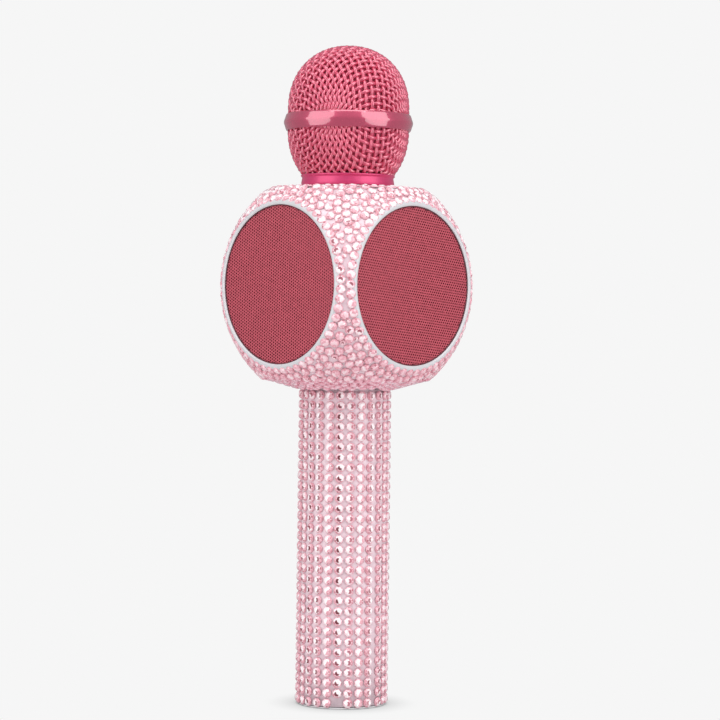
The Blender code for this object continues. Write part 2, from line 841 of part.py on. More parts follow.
def build_shell_port(name, at, size, wall):
    """A folded metal shell, open towards the end cap's underside."""
    (x, y), (wide, deep) = at, size
    body = block(name, (x - wide / 2, y - deep / 2, 0.3), (x + wide / 2, y + deep / 2, 8.4), "steel")
    low = (x - wide / 2 + wall, y - deep / 2 + wall, -2.0)
    high = (x + wide / 2 - wall, y + deep / 2 - wall, 7.4)
    cut(body, block(f"{name}_mouth", low, high, "steel"))


def build_screw(name, at):
    outline = [
        (0.0, 0.6),
        (SCREW_HEAD_R, 0.6),
        (SCREW_HEAD_R, 2.2),
        (SCREW_SHANK_R, 2.2),
        (SCREW_SHANK_R, TRAY_LOW + 3.5),
        (0.0, TRAY_LOW + 3.5),
    ]
    screw = turned(name, outline, "steel", 12, hollow=False)
    screw.location = (at[0] * MM, at[1] * MM, 0.0)


def build_electronics():
    board_y = 7.0
    block("amplifier_board", (-17, board_y, 150), (17, board_y + 1.6, 180), "board_green")
    mid = board_y + 0.8
    lead("mic_lead", eased((0, 0, 213.9), (0, mid, 180.6), 12), 1.0, "rubber_black")
    board_mid = (BOARD_BACK + BOARD_FRONT) / 2
    lead("main_lead", eased((0, mid, 149.4), (0, board_mid, BOARD_HIGH + 0.6), 8), 1.4, "rubber_black")


def main():
    clear_scene()
    build_ball()
    build_base_cover()
    build_face(0, "left", "driver")
    build_face(1, "right", "driver")
    build_face(2, "right", "passive")
    build_face(3, "left", "passive")
    build_neck()
    build_head()
    build_handle()
    build_panel()
    build_pot_bank()
    build_handle_inside()
    build_end_cap()
    build_electronics()


main()
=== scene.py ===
"""Looks of the karaoke microphone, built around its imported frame.

Lengths named in this file are in millimetres and become metres when a mesh is made.
-Y is the front, where the ridge between the two driver grilles faces the camera; +Z is up.
"""

import math
import random

import bpy
import numpy as np
from mathutils import Matrix, Vector


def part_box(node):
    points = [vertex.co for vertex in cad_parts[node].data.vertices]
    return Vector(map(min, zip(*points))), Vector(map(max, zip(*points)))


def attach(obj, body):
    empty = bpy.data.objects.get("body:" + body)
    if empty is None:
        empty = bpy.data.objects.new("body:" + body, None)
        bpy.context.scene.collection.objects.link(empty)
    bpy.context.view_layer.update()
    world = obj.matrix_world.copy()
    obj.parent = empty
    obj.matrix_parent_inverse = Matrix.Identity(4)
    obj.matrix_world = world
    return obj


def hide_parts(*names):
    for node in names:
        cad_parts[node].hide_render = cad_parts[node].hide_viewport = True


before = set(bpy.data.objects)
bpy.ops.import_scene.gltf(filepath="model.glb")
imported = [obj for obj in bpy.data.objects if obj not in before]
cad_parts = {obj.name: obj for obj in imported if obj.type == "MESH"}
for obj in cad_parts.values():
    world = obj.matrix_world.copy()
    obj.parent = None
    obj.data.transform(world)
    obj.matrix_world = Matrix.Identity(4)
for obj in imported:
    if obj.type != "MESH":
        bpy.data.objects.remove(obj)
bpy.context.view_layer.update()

MM = 0.001


def low(node):
    """Lowest corner of a CAD node, in millimetres."""
    return [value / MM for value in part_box(node)[0]]


def high(node):
    """Highest corner of a CAD node, in millimetres."""
    return [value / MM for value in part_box(node)[1]]


# ---------------------------------------------------------------- sizes, from the CAD

BALL_R = high("ball_crystals")[0]
TOP_SINK = 1.0  # the flat top sits this far under the CAD's, as the photo shows
BALL_TOP = high("ball_crystals")[2] - TOP_SINK
BALL_Z = (low("grille_driver_left")[2] + high("grille_driver_left")[2]) / 2
SHOULDER_DROP = 2.3  # the flat top rounds into the ball over this height
UNDER_EDGE_R = 33.9
UNDER_EDGE_Z = 127.7
UNDER_INNER_R = 19.0
UNDER_SLOPE = 0.281  # rise of the ball's conical underside from its middle outwards
SEAM_R = 32.4
NECK_EDGE_R = 19.0
FACE_TURNS = {
    "driver_left": 225.0,
    "driver_right": 315.0,
    "passive_right": 45.0,
    "passive_left": 135.0,
}
BEZEL_SEAT = 35.0
BEZEL_R = 32.9
BEZEL_IN_R = 30.6
BEZEL_TOP = 37.1
GRILLE_R = 30.9
GRILLE_TOP = 36.3

HANDLE_LOW = low("handle_crystals")[2]
HANDLE_HIGH = high("handle_crystals")[2]
HANDLE_LOW_R = high("handle_crystals")[0]
HANDLE_TAPER = 0.1  # how much thinner the handle is at its top

COLLAR_SINK = 0.8  # the collar reaches down after the lowered flat top
COLLAR_LOW = low("head_collar")[2] - COLLAR_SINK
COLLAR_HIGH = low("head_basket_mesh")[2] - 0.4
BAND_LOW = low("head_band")[2]
BAND_HIGH = high("head_band")[2]
BAND_R = high("head_band")[0]
HEAD_R = high("head_dome_mesh")[0]
HEAD_TOP = high("head_dome_mesh")[2]
DOME_Z = 233.6
DOME_POWER = 2.15
BASKET_TOP = 224.7
BASKET_DROP = 26.3

PANEL_LOW = low("control_panel")[2]
PANEL_HIGH = high("control_panel")[2]
PANEL_HALF = high("control_panel")[0]

# Crystals
STONE_R = 1.9
STONE_HIGH = 1.1
STONE_SIDES = 8
PITCH = 3.98  # between stones in the handle's columns
BALL_PITCH = 3.3  # between the stones packed on the ball
BALL_STONE = 0.92  # size of the ball's stones against the handle's
TRIES = 26000  # places tried for the stones on one moulding
FILLER_ROOM = 2.5  # a hole gets a small stone when its middle is this far from its neighbours
RING_ANGLE = 42.85  # from a face's axis to the stones set along its bezel, in degrees
RING_PITCH = 3.6
COLUMNS = 26
ROWS = 31
FIRST_COLUMN = -95.3  # azimuth of the column just left of the front, in degrees
FIRST_ROW = 1.3  # height of the lowest row over the handle's foot
COLUMN_WANDER = 0.25  # spread of a stone's azimuth in its column, in degrees
ROW_WANDER = 0.05
# the spread below is of the painted reflections of one column's stones
REFLECTION_SPREAD = 0.12  # how much stones of one column differ
GLUE = 0.02  # gap between the stones' flat backs and the skin

# Woven wire of the head
WIRE_PITCH = 2.6
WIRE_R = 0.74
WIRE_CRIMP = 0.48  # how far a wire weaves in and out
FOAM_BEHIND = 1.9
WIRES = 19  # wires on each side of the weave's middle one
WIRE_LEAN = 0.38  # how far a wire's curve runs straight at a crossing, in pitches
WEAVE_TURN = -60.0  # azimuth of the weave's first thread through each pole, in degrees

# Perforation of the grilles
HOLE_PITCH = 1.16
HOLE_R = 0.36


# ---------------------------------------------------------------- making meshes


def linked(name, data):
    """A new object in the scene that shows a mesh, curve, light or camera."""
    obj = bpy.data.objects.new(name, data)
    bpy.context.scene.collection.objects.link(obj)
    return obj


def turned_points(profile, sides):
    """Rings of points round Z, one ring for each (radius, height) of a profile."""
    points = []
    for r, z in profile:
        for side in range(sides):
            angle = 2 * math.pi * side / sides
            points.append((r * math.cos(angle), r * math.sin(angle), z))
    return points


def bearing(azimuth, elevation=0.0):
    """A unit vector from angles in degrees."""
    across, rise = math.radians(azimuth), math.radians(elevation)
    level = math.cos(rise)
    return Vector((math.cos(across) * level, math.sin(across) * level, math.sin(rise)))


def mesh_object(name, points, faces, material, smooth=True):
    """A mesh from points in millimetres."""
    mesh = bpy.data.meshes.new(name)
    mesh.from_pydata([(x * MM, y * MM, z * MM) for x, y, z in points], [], faces)
    mesh.polygons.foreach_set("use_smooth", [smooth] * len(mesh.polygons))
    mesh.update()
    mesh.materials.append(material)
    return linked(name, mesh)


def piece(obj, body, slot, *nodes):
    """Let a finished piece ride on its body and stand for the CAD nodes that it replaces."""
    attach(obj, body)
    if nodes:
        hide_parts(*nodes)
    return obj


def lathe(name, profile, material, sides=160, closed=True):
    """A profile of (radius, height) points turned about Z."""
    points = turned_points(profile, sides)
    faces = []
    last = len(profile) if closed else len(profile) - 1
    for ring in range(last):
        upper = (ring + 1) % len(profile) * sides
        lower = ring * sides
        for side in range(sides):
            beside = (side + 1) % sides
            faces.append((lower + side, lower + beside, upper + beside, upper + side))
    return mesh_object(name, points, faces, material)


def rounded(profile, radius, steps=5):
    """A closed profile with each corner cut by a small arc."""
    result = []
    count = len(profile)
    for index, corner in enumerate(profile):
        corner = Vector(corner)
        before = Vector(profile[index - 1]) - corner
        after = Vector(profile[(index + 1) % count]) - corner
        reach = min(radius, before.length * 0.48, after.length * 0.48)
        start = corner + before.normalized() * reach
        end = corner + after.normalized() * reach
        for step in range(steps + 1):
            share = step / steps
            point = start * (1 - share) ** 2 + corner * 2 * share * (1 - share) + end * share**2
            result.append((point.x, point.y))
    return result


def soften(obj, width, segments=3):
    """Bevel a piece's edges."""
    bevel = obj.modifiers.new("edges", "BEVEL")
    bevel.width = width * MM
    bevel.segments = segments
    bevel.limit_method = "ANGLE"
    return obj


def face_matrix(name):
    """Frame of a speaker face: its +Z is the face's normal, from the ball's centre."""
    turn = Matrix.Rotation(math.radians(FACE_TURNS[name]), 4, "Z")
    tip = Matrix.Rotation(math.pi / 2, 4, "Y")
    return Matrix.Translation((0.0, 0.0, BALL_Z * MM)) @ turn @ tip


# ---------------------------------------------------------------- materials


def nodes_of(name):
    """A new material, its node tree and its Principled shader."""
    material = bpy.data.materials.new(name)
    material.use_nodes = True
    tree = material.node_tree
    return material, tree, tree.nodes["Principled BSDF"]


def add(tree, kind, **values):
    """A node with its properties and its input values set."""
    node = tree.nodes.new(kind)
    for key, value in values.items():
        if hasattr(node, key):
            setattr(node, key, value)
        else:
            node.inputs[key.replace("_", " ")].default_value = value
    return node


def textured(tree, kind, **values):
    """A texture node laid out in the object's own space, its scale in cells per metre."""
    place = add(tree, "ShaderNodeTexCoord")
    texture = add(tree, kind, **values)
    tree.links.new(place.outputs["Object"], texture.inputs["Vector"])
    return texture


def object_noise(tree, scale, detail=3.0):
    return textured(tree, "ShaderNodeTexNoise", Scale=scale, Detail=detail)


def ramp(tree, factor, *stops):
    """A colour ramp of (position, colour) stops."""
    node = add(tree, "ShaderNodeValToRGB")
    elements = node.color_ramp.elements
    while len(elements) < len(stops):
        elements.new(0.5)
    for element, (position, colour) in zip(elements, stops):
        element.position = position
        element.color = (*colour, 1.0)
    tree.links.new(factor, node.inputs["Fac"])
    return node.outputs["Color"]


def spread(tree, factor, lowest, highest):
    """A factor of 0 to 1 stretched between two values."""
    node = add(tree, "ShaderNodeMapRange", To_Min=lowest, To_Max=highest)
    tree.links.new(factor, node.inputs["Value"])
    return node.outputs["Result"]


def bumped(tree, shader, height, strength, distance=0.1):
    """Bump the shader's normal by a height."""
    bump = add(tree, "ShaderNodeBump", Strength=strength, Distance=distance * MM)
    tree.links.new(height, bump.inputs["Height"])
    tree.links.new(bump.outputs["Normal"], shader.inputs["Normal"])


def shaded(colour, factor):
    return tuple(min(value * factor, 1.0) for value in colour)


def finish(
    name,
    colour,
    rough,
    metal=0.0,
    grain=900.0,
    contrast=0.08,
    rough_range=0.06,
    bump=0.1,
    coat=0.0,
    coat_rough=0.05,
    coat_ior=1.5,
):
    """A moulded, painted or plated surface with a fine grain in colour, gloss and height."""
    material, tree, shader = nodes_of(name)
    noise = object_noise(tree, grain)
    tone = ramp(
        tree,
        noise.outputs["Fac"],
        (0.3, shaded(colour, 1 - contrast)),
        (0.7, shaded(colour, 1 + contrast)),
    )
    tree.links.new(tone, shader.inputs["Base Color"])
    gloss = spread(tree, noise.outputs["Fac"], rough - rough_range, rough + rough_range)
    tree.links.new(gloss, shader.inputs["Roughness"])
    bumped(tree, shader, noise.outputs["Fac"], bump, 0.05)
    shader.inputs["Metallic"].default_value = metal
    shader.inputs["Coat Weight"].default_value = coat
    shader.inputs["Coat Roughness"].default_value = coat_rough
    shader.inputs["Coat IOR"].default_value = coat_ior
    return material


def crystal(name, blush):
    """Faceted glass stones: each facet's tone is painted light, running from a dark painted
    reflection to a white painted glint.
    """
    material, tree, shader = nodes_of(name)
    facet = add(tree, "ShaderNodeAttribute", attribute_name="facet")
    tint = add(tree, "ShaderNodeAttribute", attribute_name="tint")
    # The stops colour the painted light: a dark painted reflection at 0, a white painted glint at
    # 1.
    tone = ramp(
        tree,
        facet.outputs["Fac"],
        (0.0, (0.13, 0.012, 0.02)),
        (0.25, (0.70, 0.28, 0.34)),
        (0.5, (0.90, 0.55, 0.62)),
        (0.75, (0.95, 0.78, 0.81)),
        (1.0, (0.985, 0.96, 0.97)),
    )
    blushed = add(tree, "ShaderNodeMix", data_type="RGBA", blend_type="MULTIPLY")
    blushed.inputs["B"].default_value = (*blush, 1.0)
    tree.links.new(tone, blushed.inputs["A"])
    amount = spread(tree, tint.outputs["Fac"], 0.3, 1.0)
    tree.links.new(amount, blushed.inputs["Factor"])
    tree.links.new(blushed.outputs["Result"], shader.inputs["Base Color"])
    noise = object_noise(tree, 1500.0)
    gloss = spread(tree, noise.outputs["Fac"], 0.06, 0.2)
    tree.links.new(gloss, shader.inputs["Roughness"])
    shader.inputs["IOR"].default_value = 1.6
    shader.inputs["Coat Weight"].default_value = 0.6
    shader.inputs["Coat Roughness"].default_value = 0.04
    return material


def foam(name, colour):
    """Open-cell foam: small dark pores in a soft pink sponge."""
    material, tree, shader = nodes_of(name)
    cells = textured(tree, "ShaderNodeTexVoronoi", Scale=1600.0)
    tone = ramp(
        tree,
        cells.outputs["Distance"],
        (0.1, shaded(colour, 1.25)),
        (0.75, shaded(colour, 0.55)),
    )
    tree.links.new(tone, shader.inputs["Base Color"])
    bumped(tree, shader, cells.outputs["Distance"], 0.6, 0.3)
    shader.inputs["Roughness"].default_value = 0.9
    shader.inputs["Sheen Weight"].default_value = 0.3
    return material


def cloth(name, colour):
    """Fine speaker cloth, with its threads as crossed waves."""
    material, tree, shader = nodes_of(name)
    weave = add(tree, "ShaderNodeMath", operation="MULTIPLY")
    for index, axis in enumerate("XY"):
        wave = textured(tree, "ShaderNodeTexWave", Scale=420.0, bands_direction=axis)
        tree.links.new(wave.outputs["Fac"], weave.inputs[index])
    dark, pale = shaded(colour, 0.6), shaded(colour, 1.4)
    tone = ramp(tree, weave.outputs["Value"], (0.0, dark), (1.0, pale))
    tree.links.new(tone, shader.inputs["Base Color"])
    bumped(tree, shader, weave.outputs["Value"], 0.4)
    shader.inputs["Roughness"].default_value = 0.85
    return material


def circuit_board(name):
    """Green solder mask over a grid of copper tracks."""
    material, tree, shader = nodes_of(name)
    place = add(tree, "ShaderNodeTexCoord")
    bricks = add(
        tree,
        "ShaderNodeTexBrick",
        Scale=300.0,
        Color1=(0.01, 0.13, 0.05, 1.0),
        Color2=(0.012, 0.16, 0.06, 1.0),
        Mortar=(0.03, 0.26, 0.08, 1.0),
    )
    turned_place = add(tree, "ShaderNodeMapping")
    turned_place.inputs["Rotation"].default_value = (math.pi / 2, 0.0, 0.0)
    tree.links.new(place.outputs["Object"], turned_place.inputs["Vector"])
    tree.links.new(turned_place.outputs["Vector"], bricks.inputs["Vector"])
    tree.links.new(bricks.outputs["Color"], shader.inputs["Base Color"])
    bumped(tree, shader, bricks.outputs["Fac"], 0.3)
    shader.inputs["Roughness"].default_value = 0.35
    return material


def cone_paper(name, colour):
    """Pressed paper or rubber with concentric ribs round its own axis."""
    material, tree, shader = nodes_of(name)
    ribs = textured(tree, "ShaderNodeTexWave", wave_type="RINGS", Scale=120.0, Distortion=0.6)
    tone = ramp(tree, ribs.outputs["Fac"], (0.0, shaded(colour, 0.8)), (1.0, shaded(colour, 1.2)))
    tree.links.new(tone, shader.inputs["Base Color"])
    bumped(tree, shader, ribs.outputs["Fac"], 0.3)
    shader.inputs["Roughness"].default_value = 0.7
    return material


PINK_STONES = crystal("crystal_pink", (0.99, 0.90, 0.92))
ROSE_STONES = crystal("crystal_rose", (1.0, 0.84, 0.90))
# Pale pearl plastic tinted pink as a painted reflection of the stones around it.
SHELL = finish("shell_pearl_painted_pink_reflection", (0.80, 0.62, 0.68), 0.3, grain=600.0, coat=0.4)
ROSY_SHELL = finish("shell_rosy", (0.80, 0.42, 0.52), 0.3, grain=600.0, coat=0.4)
BEZEL = finish("bezel_gloss", (0.64, 0.63, 0.655), 0.25, grain=250.0, contrast=0.03, coat=0.5)
LACQUER = finish(
    "magenta_lacquer",
    (0.55, 0.045, 0.12),
    0.25,
    metal=0.4,
    grain=2500.0,
    contrast=0.1,
    coat=1.0,
    coat_rough=0.05,
    coat_ior=2.0,
)
SATIN = finish(
    "magenta_satin",
    (0.68, 0.05, 0.18),
    0.4,
    metal=0.4,
    grain=3000.0,
    contrast=0.1,
    coat=0.4,
    coat_rough=0.25,
)
WIRE = finish(
    "magenta_wire",
    (0.71, 0.08, 0.165),
    0.3,
    metal=0.3,
    grain=1200.0,
    contrast=0.14,
    coat=1.0,
    coat_rough=0.12,
    coat_ior=1.9,
)
GRILLE = finish(
    "crimson_grille",
    (0.56, 0.088, 0.125),
    0.42,
    metal=0.3,
    grain=700.0,
    contrast=0.10,
    coat=0.2,
    coat_rough=0.3,
)
# The grille's rim is painted near-black as the shade in the gap between bezel and grille.
GRILLE_GAP_SHADE = finish("grille_rim_wine", (0.13, 0.012, 0.025), 0.5, grain=900.0, contrast=0.1)
FOAM = foam("foam_rose", (0.88, 0.13, 0.24))
CLOTH = cloth("speaker_cloth", (0.24, 0.025, 0.04))
PANEL = finish("panel_rose", (0.80, 0.42, 0.50), 0.25, grain=1600.0, contrast=0.05, coat=0.7)
BUTTON = finish("button_white", (0.82, 0.79, 0.80), 0.3, grain=900.0, contrast=0.03, coat=0.4)
INK = finish("icon_rose", (0.45, 0.06, 0.12), 0.4, grain=3000.0, contrast=0.05)
CAP = finish("cap_pearl", (0.78, 0.75, 0.77), 0.32, grain=800.0, contrast=0.04, coat=0.3)
BLACK = finish("frame_black_plastic", (0.02, 0.02, 0.022), 0.45, grain=1800.0, contrast=0.2)
RUBBER = cone_paper("surround_rubber", (0.03, 0.03, 0.033))
PAPER = cone_paper("cone_paper", (0.17, 0.17, 0.18))
STEEL = finish("steel_plate", (0.55, 0.55, 0.56), 0.32, metal=1.0, grain=2200.0, contrast=0.12)
BRASS = finish("brass_contact", (0.75, 0.52, 0.22), 0.3, metal=1.0, grain=2200.0, contrast=0.1)
WRAP = finish("cell_wrap", (0.04, 0.16, 0.42), 0.3, grain=500.0, contrast=0.1, coat=0.5)
BOARD = circuit_board("solder_mask")
LENS = finish("led_lens_clear", (0.85, 0.92, 0.95), 0.12, grain=1500.0, contrast=0.03, coat=0.8)
LEAD = finish("lead_sleeve", (0.55, 0.03, 0.03), 0.45, grain=1500.0, contrast=0.12)

SLOT_FINISH = {
    "crystal_pink": PINK_STONES,
    "crystal_rose": ROSE_STONES,
    "metal_magenta": LACQUER,
    "mesh_magenta": WIRE,
    "grille_crimson": GRILLE,
    "bezel_white": BEZEL,
    "shell_white": SHELL,
    "foam_pink": FOAM,
    "frame_black": BLACK,
    "cone_grey": PAPER,
    "rubber_black": RUBBER,
    "steel": STEEL,
    "board_green": BOARD,
    "cell_blue": WRAP,
    "brass": BRASS,
    "lens_clear": LENS,
}
NODE_FINISH = {
    "control_panel": PANEL,
    "end_cap": CAP,
    "main_lead": LEAD,
    "mic_lead": LEAD,
    "neck_washer": LACQUER,
    "neck_socket": LACQUER,
}


def dress_frame():
    """Give every CAD node that still shows a finished material."""
    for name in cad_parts:
        node = bpy.data.objects[name]
        for place in node.material_slots:
            slot = place.material.name.split(".")[0] if place.material else ""
            place.material = NODE_FINISH.get(name, SLOT_FINISH.get(slot, SHELL))


# ---------------------------------------------------------------- crystals


def ball_profile(inset):
    """The ball's outline from its neck down to its seam, moved inwards by inset."""
    radius = BALL_R - inset
    top = BALL_TOP - inset
    shoulder = top - SHOULDER_DROP
    start = math.asin((shoulder - BALL_Z) / radius)
    end = -math.asin((BALL_Z - UNDER_EDGE_Z) / BALL_R)
    side = []
    for step in range(33):
        angle = start + (end - start) * step / 32
        side.append((radius * math.cos(angle), BALL_Z + radius * math.sin(angle)))
    corner = side[0][0] - SHOULDER_DROP * 1.6
    return [(NECK_EDGE_R, top), (corner, top)] + side


def base_profile(inset):
    """The base cover's cone from the seam in to the handle."""
    drop = inset * math.hypot(1.0, UNDER_SLOPE)
    radii = [SEAM_R, UNDER_INNER_R]
    return [(r, UNDER_EDGE_Z + (r - UNDER_EDGE_R) * UNDER_SLOPE + drop) for r in radii]


def onto_profile(points, profile):
    """Each point's nearest place on the turned profile, with its outward normal."""
    radius = np.hypot(points[:, 0], points[:, 1])
    flat = np.stack([radius, points[:, 2]], axis=1)
    outline = np.array(profile)
    start, step = outline[:-1], outline[1:] - outline[:-1]
    share = ((flat[:, None] - start) * step).sum(2) / (step**2).sum(1)
    near = start + np.clip(share, 0.0, 1.0)[:, :, None] * step
    best = ((near - flat[:, None]) ** 2).sum(2).argmin(1)
    place = near[np.arange(len(flat)), best]
    across = step[best] / np.linalg.norm(step[best], axis=1)[:, None]
    normal = np.stack([-across[:, 1], across[:, 0]], axis=1)
    around = points[:, :2] / np.maximum(radius, 1e-6)[:, None]
    spot = np.column_stack([around * place[:, :1], place[:, 1]])
    facing = np.column_stack([around * normal[:, :1], normal[:, 1]])
    return spot, facing


def clear_of_faces(points, clearance):
    """Push points on the ball out of the four round openings."""
    for turn in FACE_TURNS.values():
        axis = np.array([math.cos(math.radians(turn)), math.sin(math.radians(turn)), 0.0])
        out = points - np.array([0.0, 0.0, BALL_Z])
        along = out @ axis
        beside = out - along[:, None] * axis
        away = np.linalg.norm(beside, axis=1)
        inside = (along > 0) & (away < clearance)
        scale = np.where(inside, clearance / np.maximum(away, 1e-6), 1.0)
        points = points + beside * (scale - 1.0)[:, None]
    return points


def ring_round_face(turn, radius):
    """A ring of stones on the ball, close along one bezel."""
    angle = math.radians(RING_ANGLE)
    across = radius * math.sin(angle)
    count = int(2 * math.pi * across / RING_PITCH)
    axis = bearing(turn)
    side = Vector((0.0, 0.0, 1.0)).cross(axis)
    ring = []
    for index in range(count):
        around = 2 * math.pi * (index + 0.5) / count
        out = side * math.cos(around) + Vector((0.0, 0.0, 1.0)) * math.sin(around)
        point = axis * radius * math.cos(angle) + out * across
        ring.append((point.x, point.y, point.z + BALL_Z))
    return ring


def sample(profile, count, source):
    """Even random places on a turned profile."""
    legs = []
    for (r1, z1), (r2, z2) in zip(profile[:-1], profile[1:]):
        legs.append(math.hypot(r2 - r1, z2 - z1) * (r1 + r2) * math.pi)
    points = []
    for leg in source.choices(range(len(legs)), legs, k=count):
        share = source.random()
        r = profile[leg][0] + (profile[leg + 1][0] - profile[leg][0]) * share
        z = profile[leg][1] + (profile[leg + 1][1] - profile[leg][1]) * share
        around = source.uniform(0.0, 2 * math.pi)
        points.append((r * math.cos(around), r * math.sin(around), z))
    return np.array(points)


def open_places(profile, clearance, seed):
    """Places to try for stones on a turned profile, clear of the round openings if any."""
    tries = sample(profile, TRIES, random.Random(seed))
    if clearance:
        moved = clear_of_faces(tries, clearance)
        tries = tries[np.abs(moved - tries).max(1) < 1e-9]
    return tries


def packed(profile, pitch, seed, rings=(), clearance=None):
    """Close packing: each stone is set against the ones already there, as a setter would."""
    tries = open_places(profile, clearance, seed)
    placed = [np.array(point) for ring in rings for point in ring] or [tries[0]]
    nearest = np.full(len(tries), 1e9)
    second = np.full(len(tries), 1e9)
    queue = list(placed)
    while True:
        for point in queue:
            distance = np.linalg.norm(tries - point, axis=1)
            second = np.where(distance < nearest, nearest, np.minimum(second, distance))
            nearest = np.minimum(nearest, distance)
        is_open = nearest >= pitch
        if not is_open.any():
            break
        chosen = tries[np.where(is_open, nearest + second, 1e9).argmin()]
        placed.append(chosen)
        queue = [chosen]
    fixed = sum(len(ring) for ring in rings)
    return evened(np.array(placed), fixed, profile, pitch * 1.1, clearance)


def evened(places, fixed, profile, pitch, clearance, rounds=30):
    """Places moved apart until their spacing is even; the first few stay where they are."""
    for _ in range(rounds):
        apart = places[fixed:, None] - places[None]
        distance = np.linalg.norm(apart, axis=2)
        distance[distance < 1e-6] = 1e9
        push = np.clip(pitch - distance, 0.0, None) * 0.25 / distance
        moved = places[fixed:] + (apart * push[:, :, None]).sum(1)
        if clearance:
            moved = clear_of_faces(moved, clearance)
        places[fixed:], _ = onto_profile(moved, profile)
    return places


def fillers(places, profile, clearance, seed):
    """Small stones for the holes left between the others: their places and sizes."""
    tries = open_places(profile, clearance, seed)
    nearest = np.full(len(tries), 1e9)
    for place in places:
        nearest = np.minimum(nearest, np.linalg.norm(tries - place, axis=1))
    added, sizes = [], []
    while nearest.max() > FILLER_ROOM:
        best = nearest.argmax()
        added.append(tries[best])
        sizes.append(min((nearest[best] - STONE_R * BALL_STONE) / STONE_R * 1.12, BALL_STONE))
        nearest = np.minimum(nearest, np.linalg.norm(tries - tries[best], axis=1))
    return np.array(added).reshape(-1, 3), np.array(sizes)


def sizes_to_fit(places, usual):
    """Each stone's size, so that it nearly fills the space between its neighbours."""
    distance = np.linalg.norm(places[:, None] - places[None], axis=2)
    distance.sort(axis=1)
    room = distance[:, 1:4].mean(axis=1) / 2 * 1.03
    return np.clip(room / STONE_R, usual * 0.86, usual * 1.1)


class Stones:
    """Many faceted flat-back stones in one mesh, with a tone of painted reflection and highlight
    for every facet.
    """

    def __init__(self, seed):
        self.points, self.faces, self.facets, self.tints = [], [], [], []
        self.source = random.Random(seed)

    def add(self, place, normal, turn, dark_reflection, white_glint, bright, tint, size=1.0):
        """One stone: the three shades after turn are its painted dark reflection, its painted
        white glints and the side painted with highlights.
        """
        normal = Vector(normal).normalized()
        normal = (normal + Vector([self.source.gauss(0.0, 0.035) for _ in "xyz"])).normalized()
        side = Vector((0.0, 0.0, 1.0)).cross(normal)
        side = side.normalized() if side.length > 0.1 else Vector((1.0, 0.0, 0.0))
        up = normal.cross(side)
        first = len(self.points)
        # (share of radius, share of height, turn in sides): base, girdle, crown, table
        rings = ((1.0, 0.0, 0.0), (1.0, 0.3, 0.0), (0.8, 0.66, 0.5), (0.5, 1.0, 0.0))
        place = Vector(place)
        for radius, height, twist in rings:
            for index in range(STONE_SIDES):
                angle = turn + 2 * math.pi * (index + twist) / STONE_SIDES
                out = side * math.cos(angle) + up * math.sin(angle)
                reach = radius * STONE_R * size
                self.points.append(place + out * reach + normal * height * STONE_HIGH * size)
        self.points.append(place + normal * STONE_HIGH * size)
        # Each facet's tone is painted light: highlights on the side towards bright, a dark painted
        # reflection on part of the table.
        for index in range(STONE_SIDES):
            beside = (index + 1) % STONE_SIDES
            angle = turn + 2 * math.pi * (index + 0.5) / STONE_SIDES
            shine = 0.5 + 0.5 * math.cos(angle - bright)
            base, girdle, crown, table = (first + ring * STONE_SIDES for ring in range(4))
            flicker = self.source.uniform(-0.12, 0.12)
            self.face((base + index, base + beside, girdle + beside, girdle + index), 0.4, tint)
            self.face((girdle + index, girdle + beside, crown + index), 0.38 + flicker, tint)
            rim = 0.34 + 0.45 * white_glint * shine - flicker
            self.face((girdle + beside, crown + beside, crown + index), rim, tint)
            white = 0.5 + (0.5 if shine > 0.35 else -0.1) * white_glint
            white -= 0.2 * (index % 2)
            self.face((crown + index, crown + beside, table + beside), white - flicker, tint)
            glow = 0.52 + 0.55 * white_glint * (1.0 if shine > 0.3 else 0.0)
            self.face((crown + index, table + beside, table + index), glow + flicker, tint)
            dark_half = shine < (0.65 if dark_reflection > 0.5 else 0.4)
            centre = 0.45 * (1 - dark_reflection) if dark_half else 0.6 + 0.4 * white_glint + flicker
            self.face((table + index, table + beside, first + 4 * STONE_SIDES), centre, tint)

    def face(self, corners, facet, tint):
        self.faces.append(corners)
        self.facets.append(min(max(facet, 0.0), 1.0))
        self.tints.append(tint)

    def build(self, name, material):
        obj = mesh_object(name, self.points, self.faces, material, smooth=False)
        for label, values in (("facet", self.facets), ("tint", self.tints)):
            layer = obj.data.attributes.new(label, "FLOAT", "FACE")
            layer.data.foreach_set("value", values)
        return obj


def ball_stones():
    """Stones on the ball: a ring along each bezel and a close packing between them."""
    profile = ball_profile(STONE_HIGH)
    rings = [ring_round_face(turn, BALL_R - STONE_HIGH) for turn in FACE_TURNS.values()]
    clearance = BEZEL_R + STONE_R * BALL_STONE
    places = packed(profile, BALL_PITCH, 11, rings, clearance)
    small, small_sizes = fillers(places, profile, clearance, 12)
    sizes = np.concatenate((sizes_to_fit(places, BALL_STONE), small_sizes))
    spots, normals = onto_profile(np.concatenate((places, small)), profile)
    stones = Stones(5)
    pick = random.Random(8)
    for spot, normal, size in zip(spots, normals, sizes):
        height = (spot[2] - BALL_Z) / BALL_R
        # Painted light on the ball's stones: whiter glints higher up, where the light falls from
        # above, a pinker tint lower down as painted shade, and painted dark reflections mostly
        # near the middle height.
        top_light = min(max(0.62 + 0.6 * height, 0.25), 1.0)
        dark_reflection = 0.75 if pick.random() < 0.3 - 0.35 * abs(height) else pick.uniform(0.0, 0.2)
        white_glint = min(max(top_light + pick.uniform(-0.3, 0.3), 0.0), 1.0)
        tint = min(max(0.55 - 0.8 * height + pick.uniform(-0.2, 0.2), 0.0), 1.0)
        bright = pick.uniform(0, 6.28)
        stones.add(spot, normal, pick.uniform(0, 1), dark_reflection, white_glint, bright, tint, size)
    obj = stones.build("ball_stones", PINK_STONES)
    return piece(obj, "body", "crystal_pink", "ball_crystals")


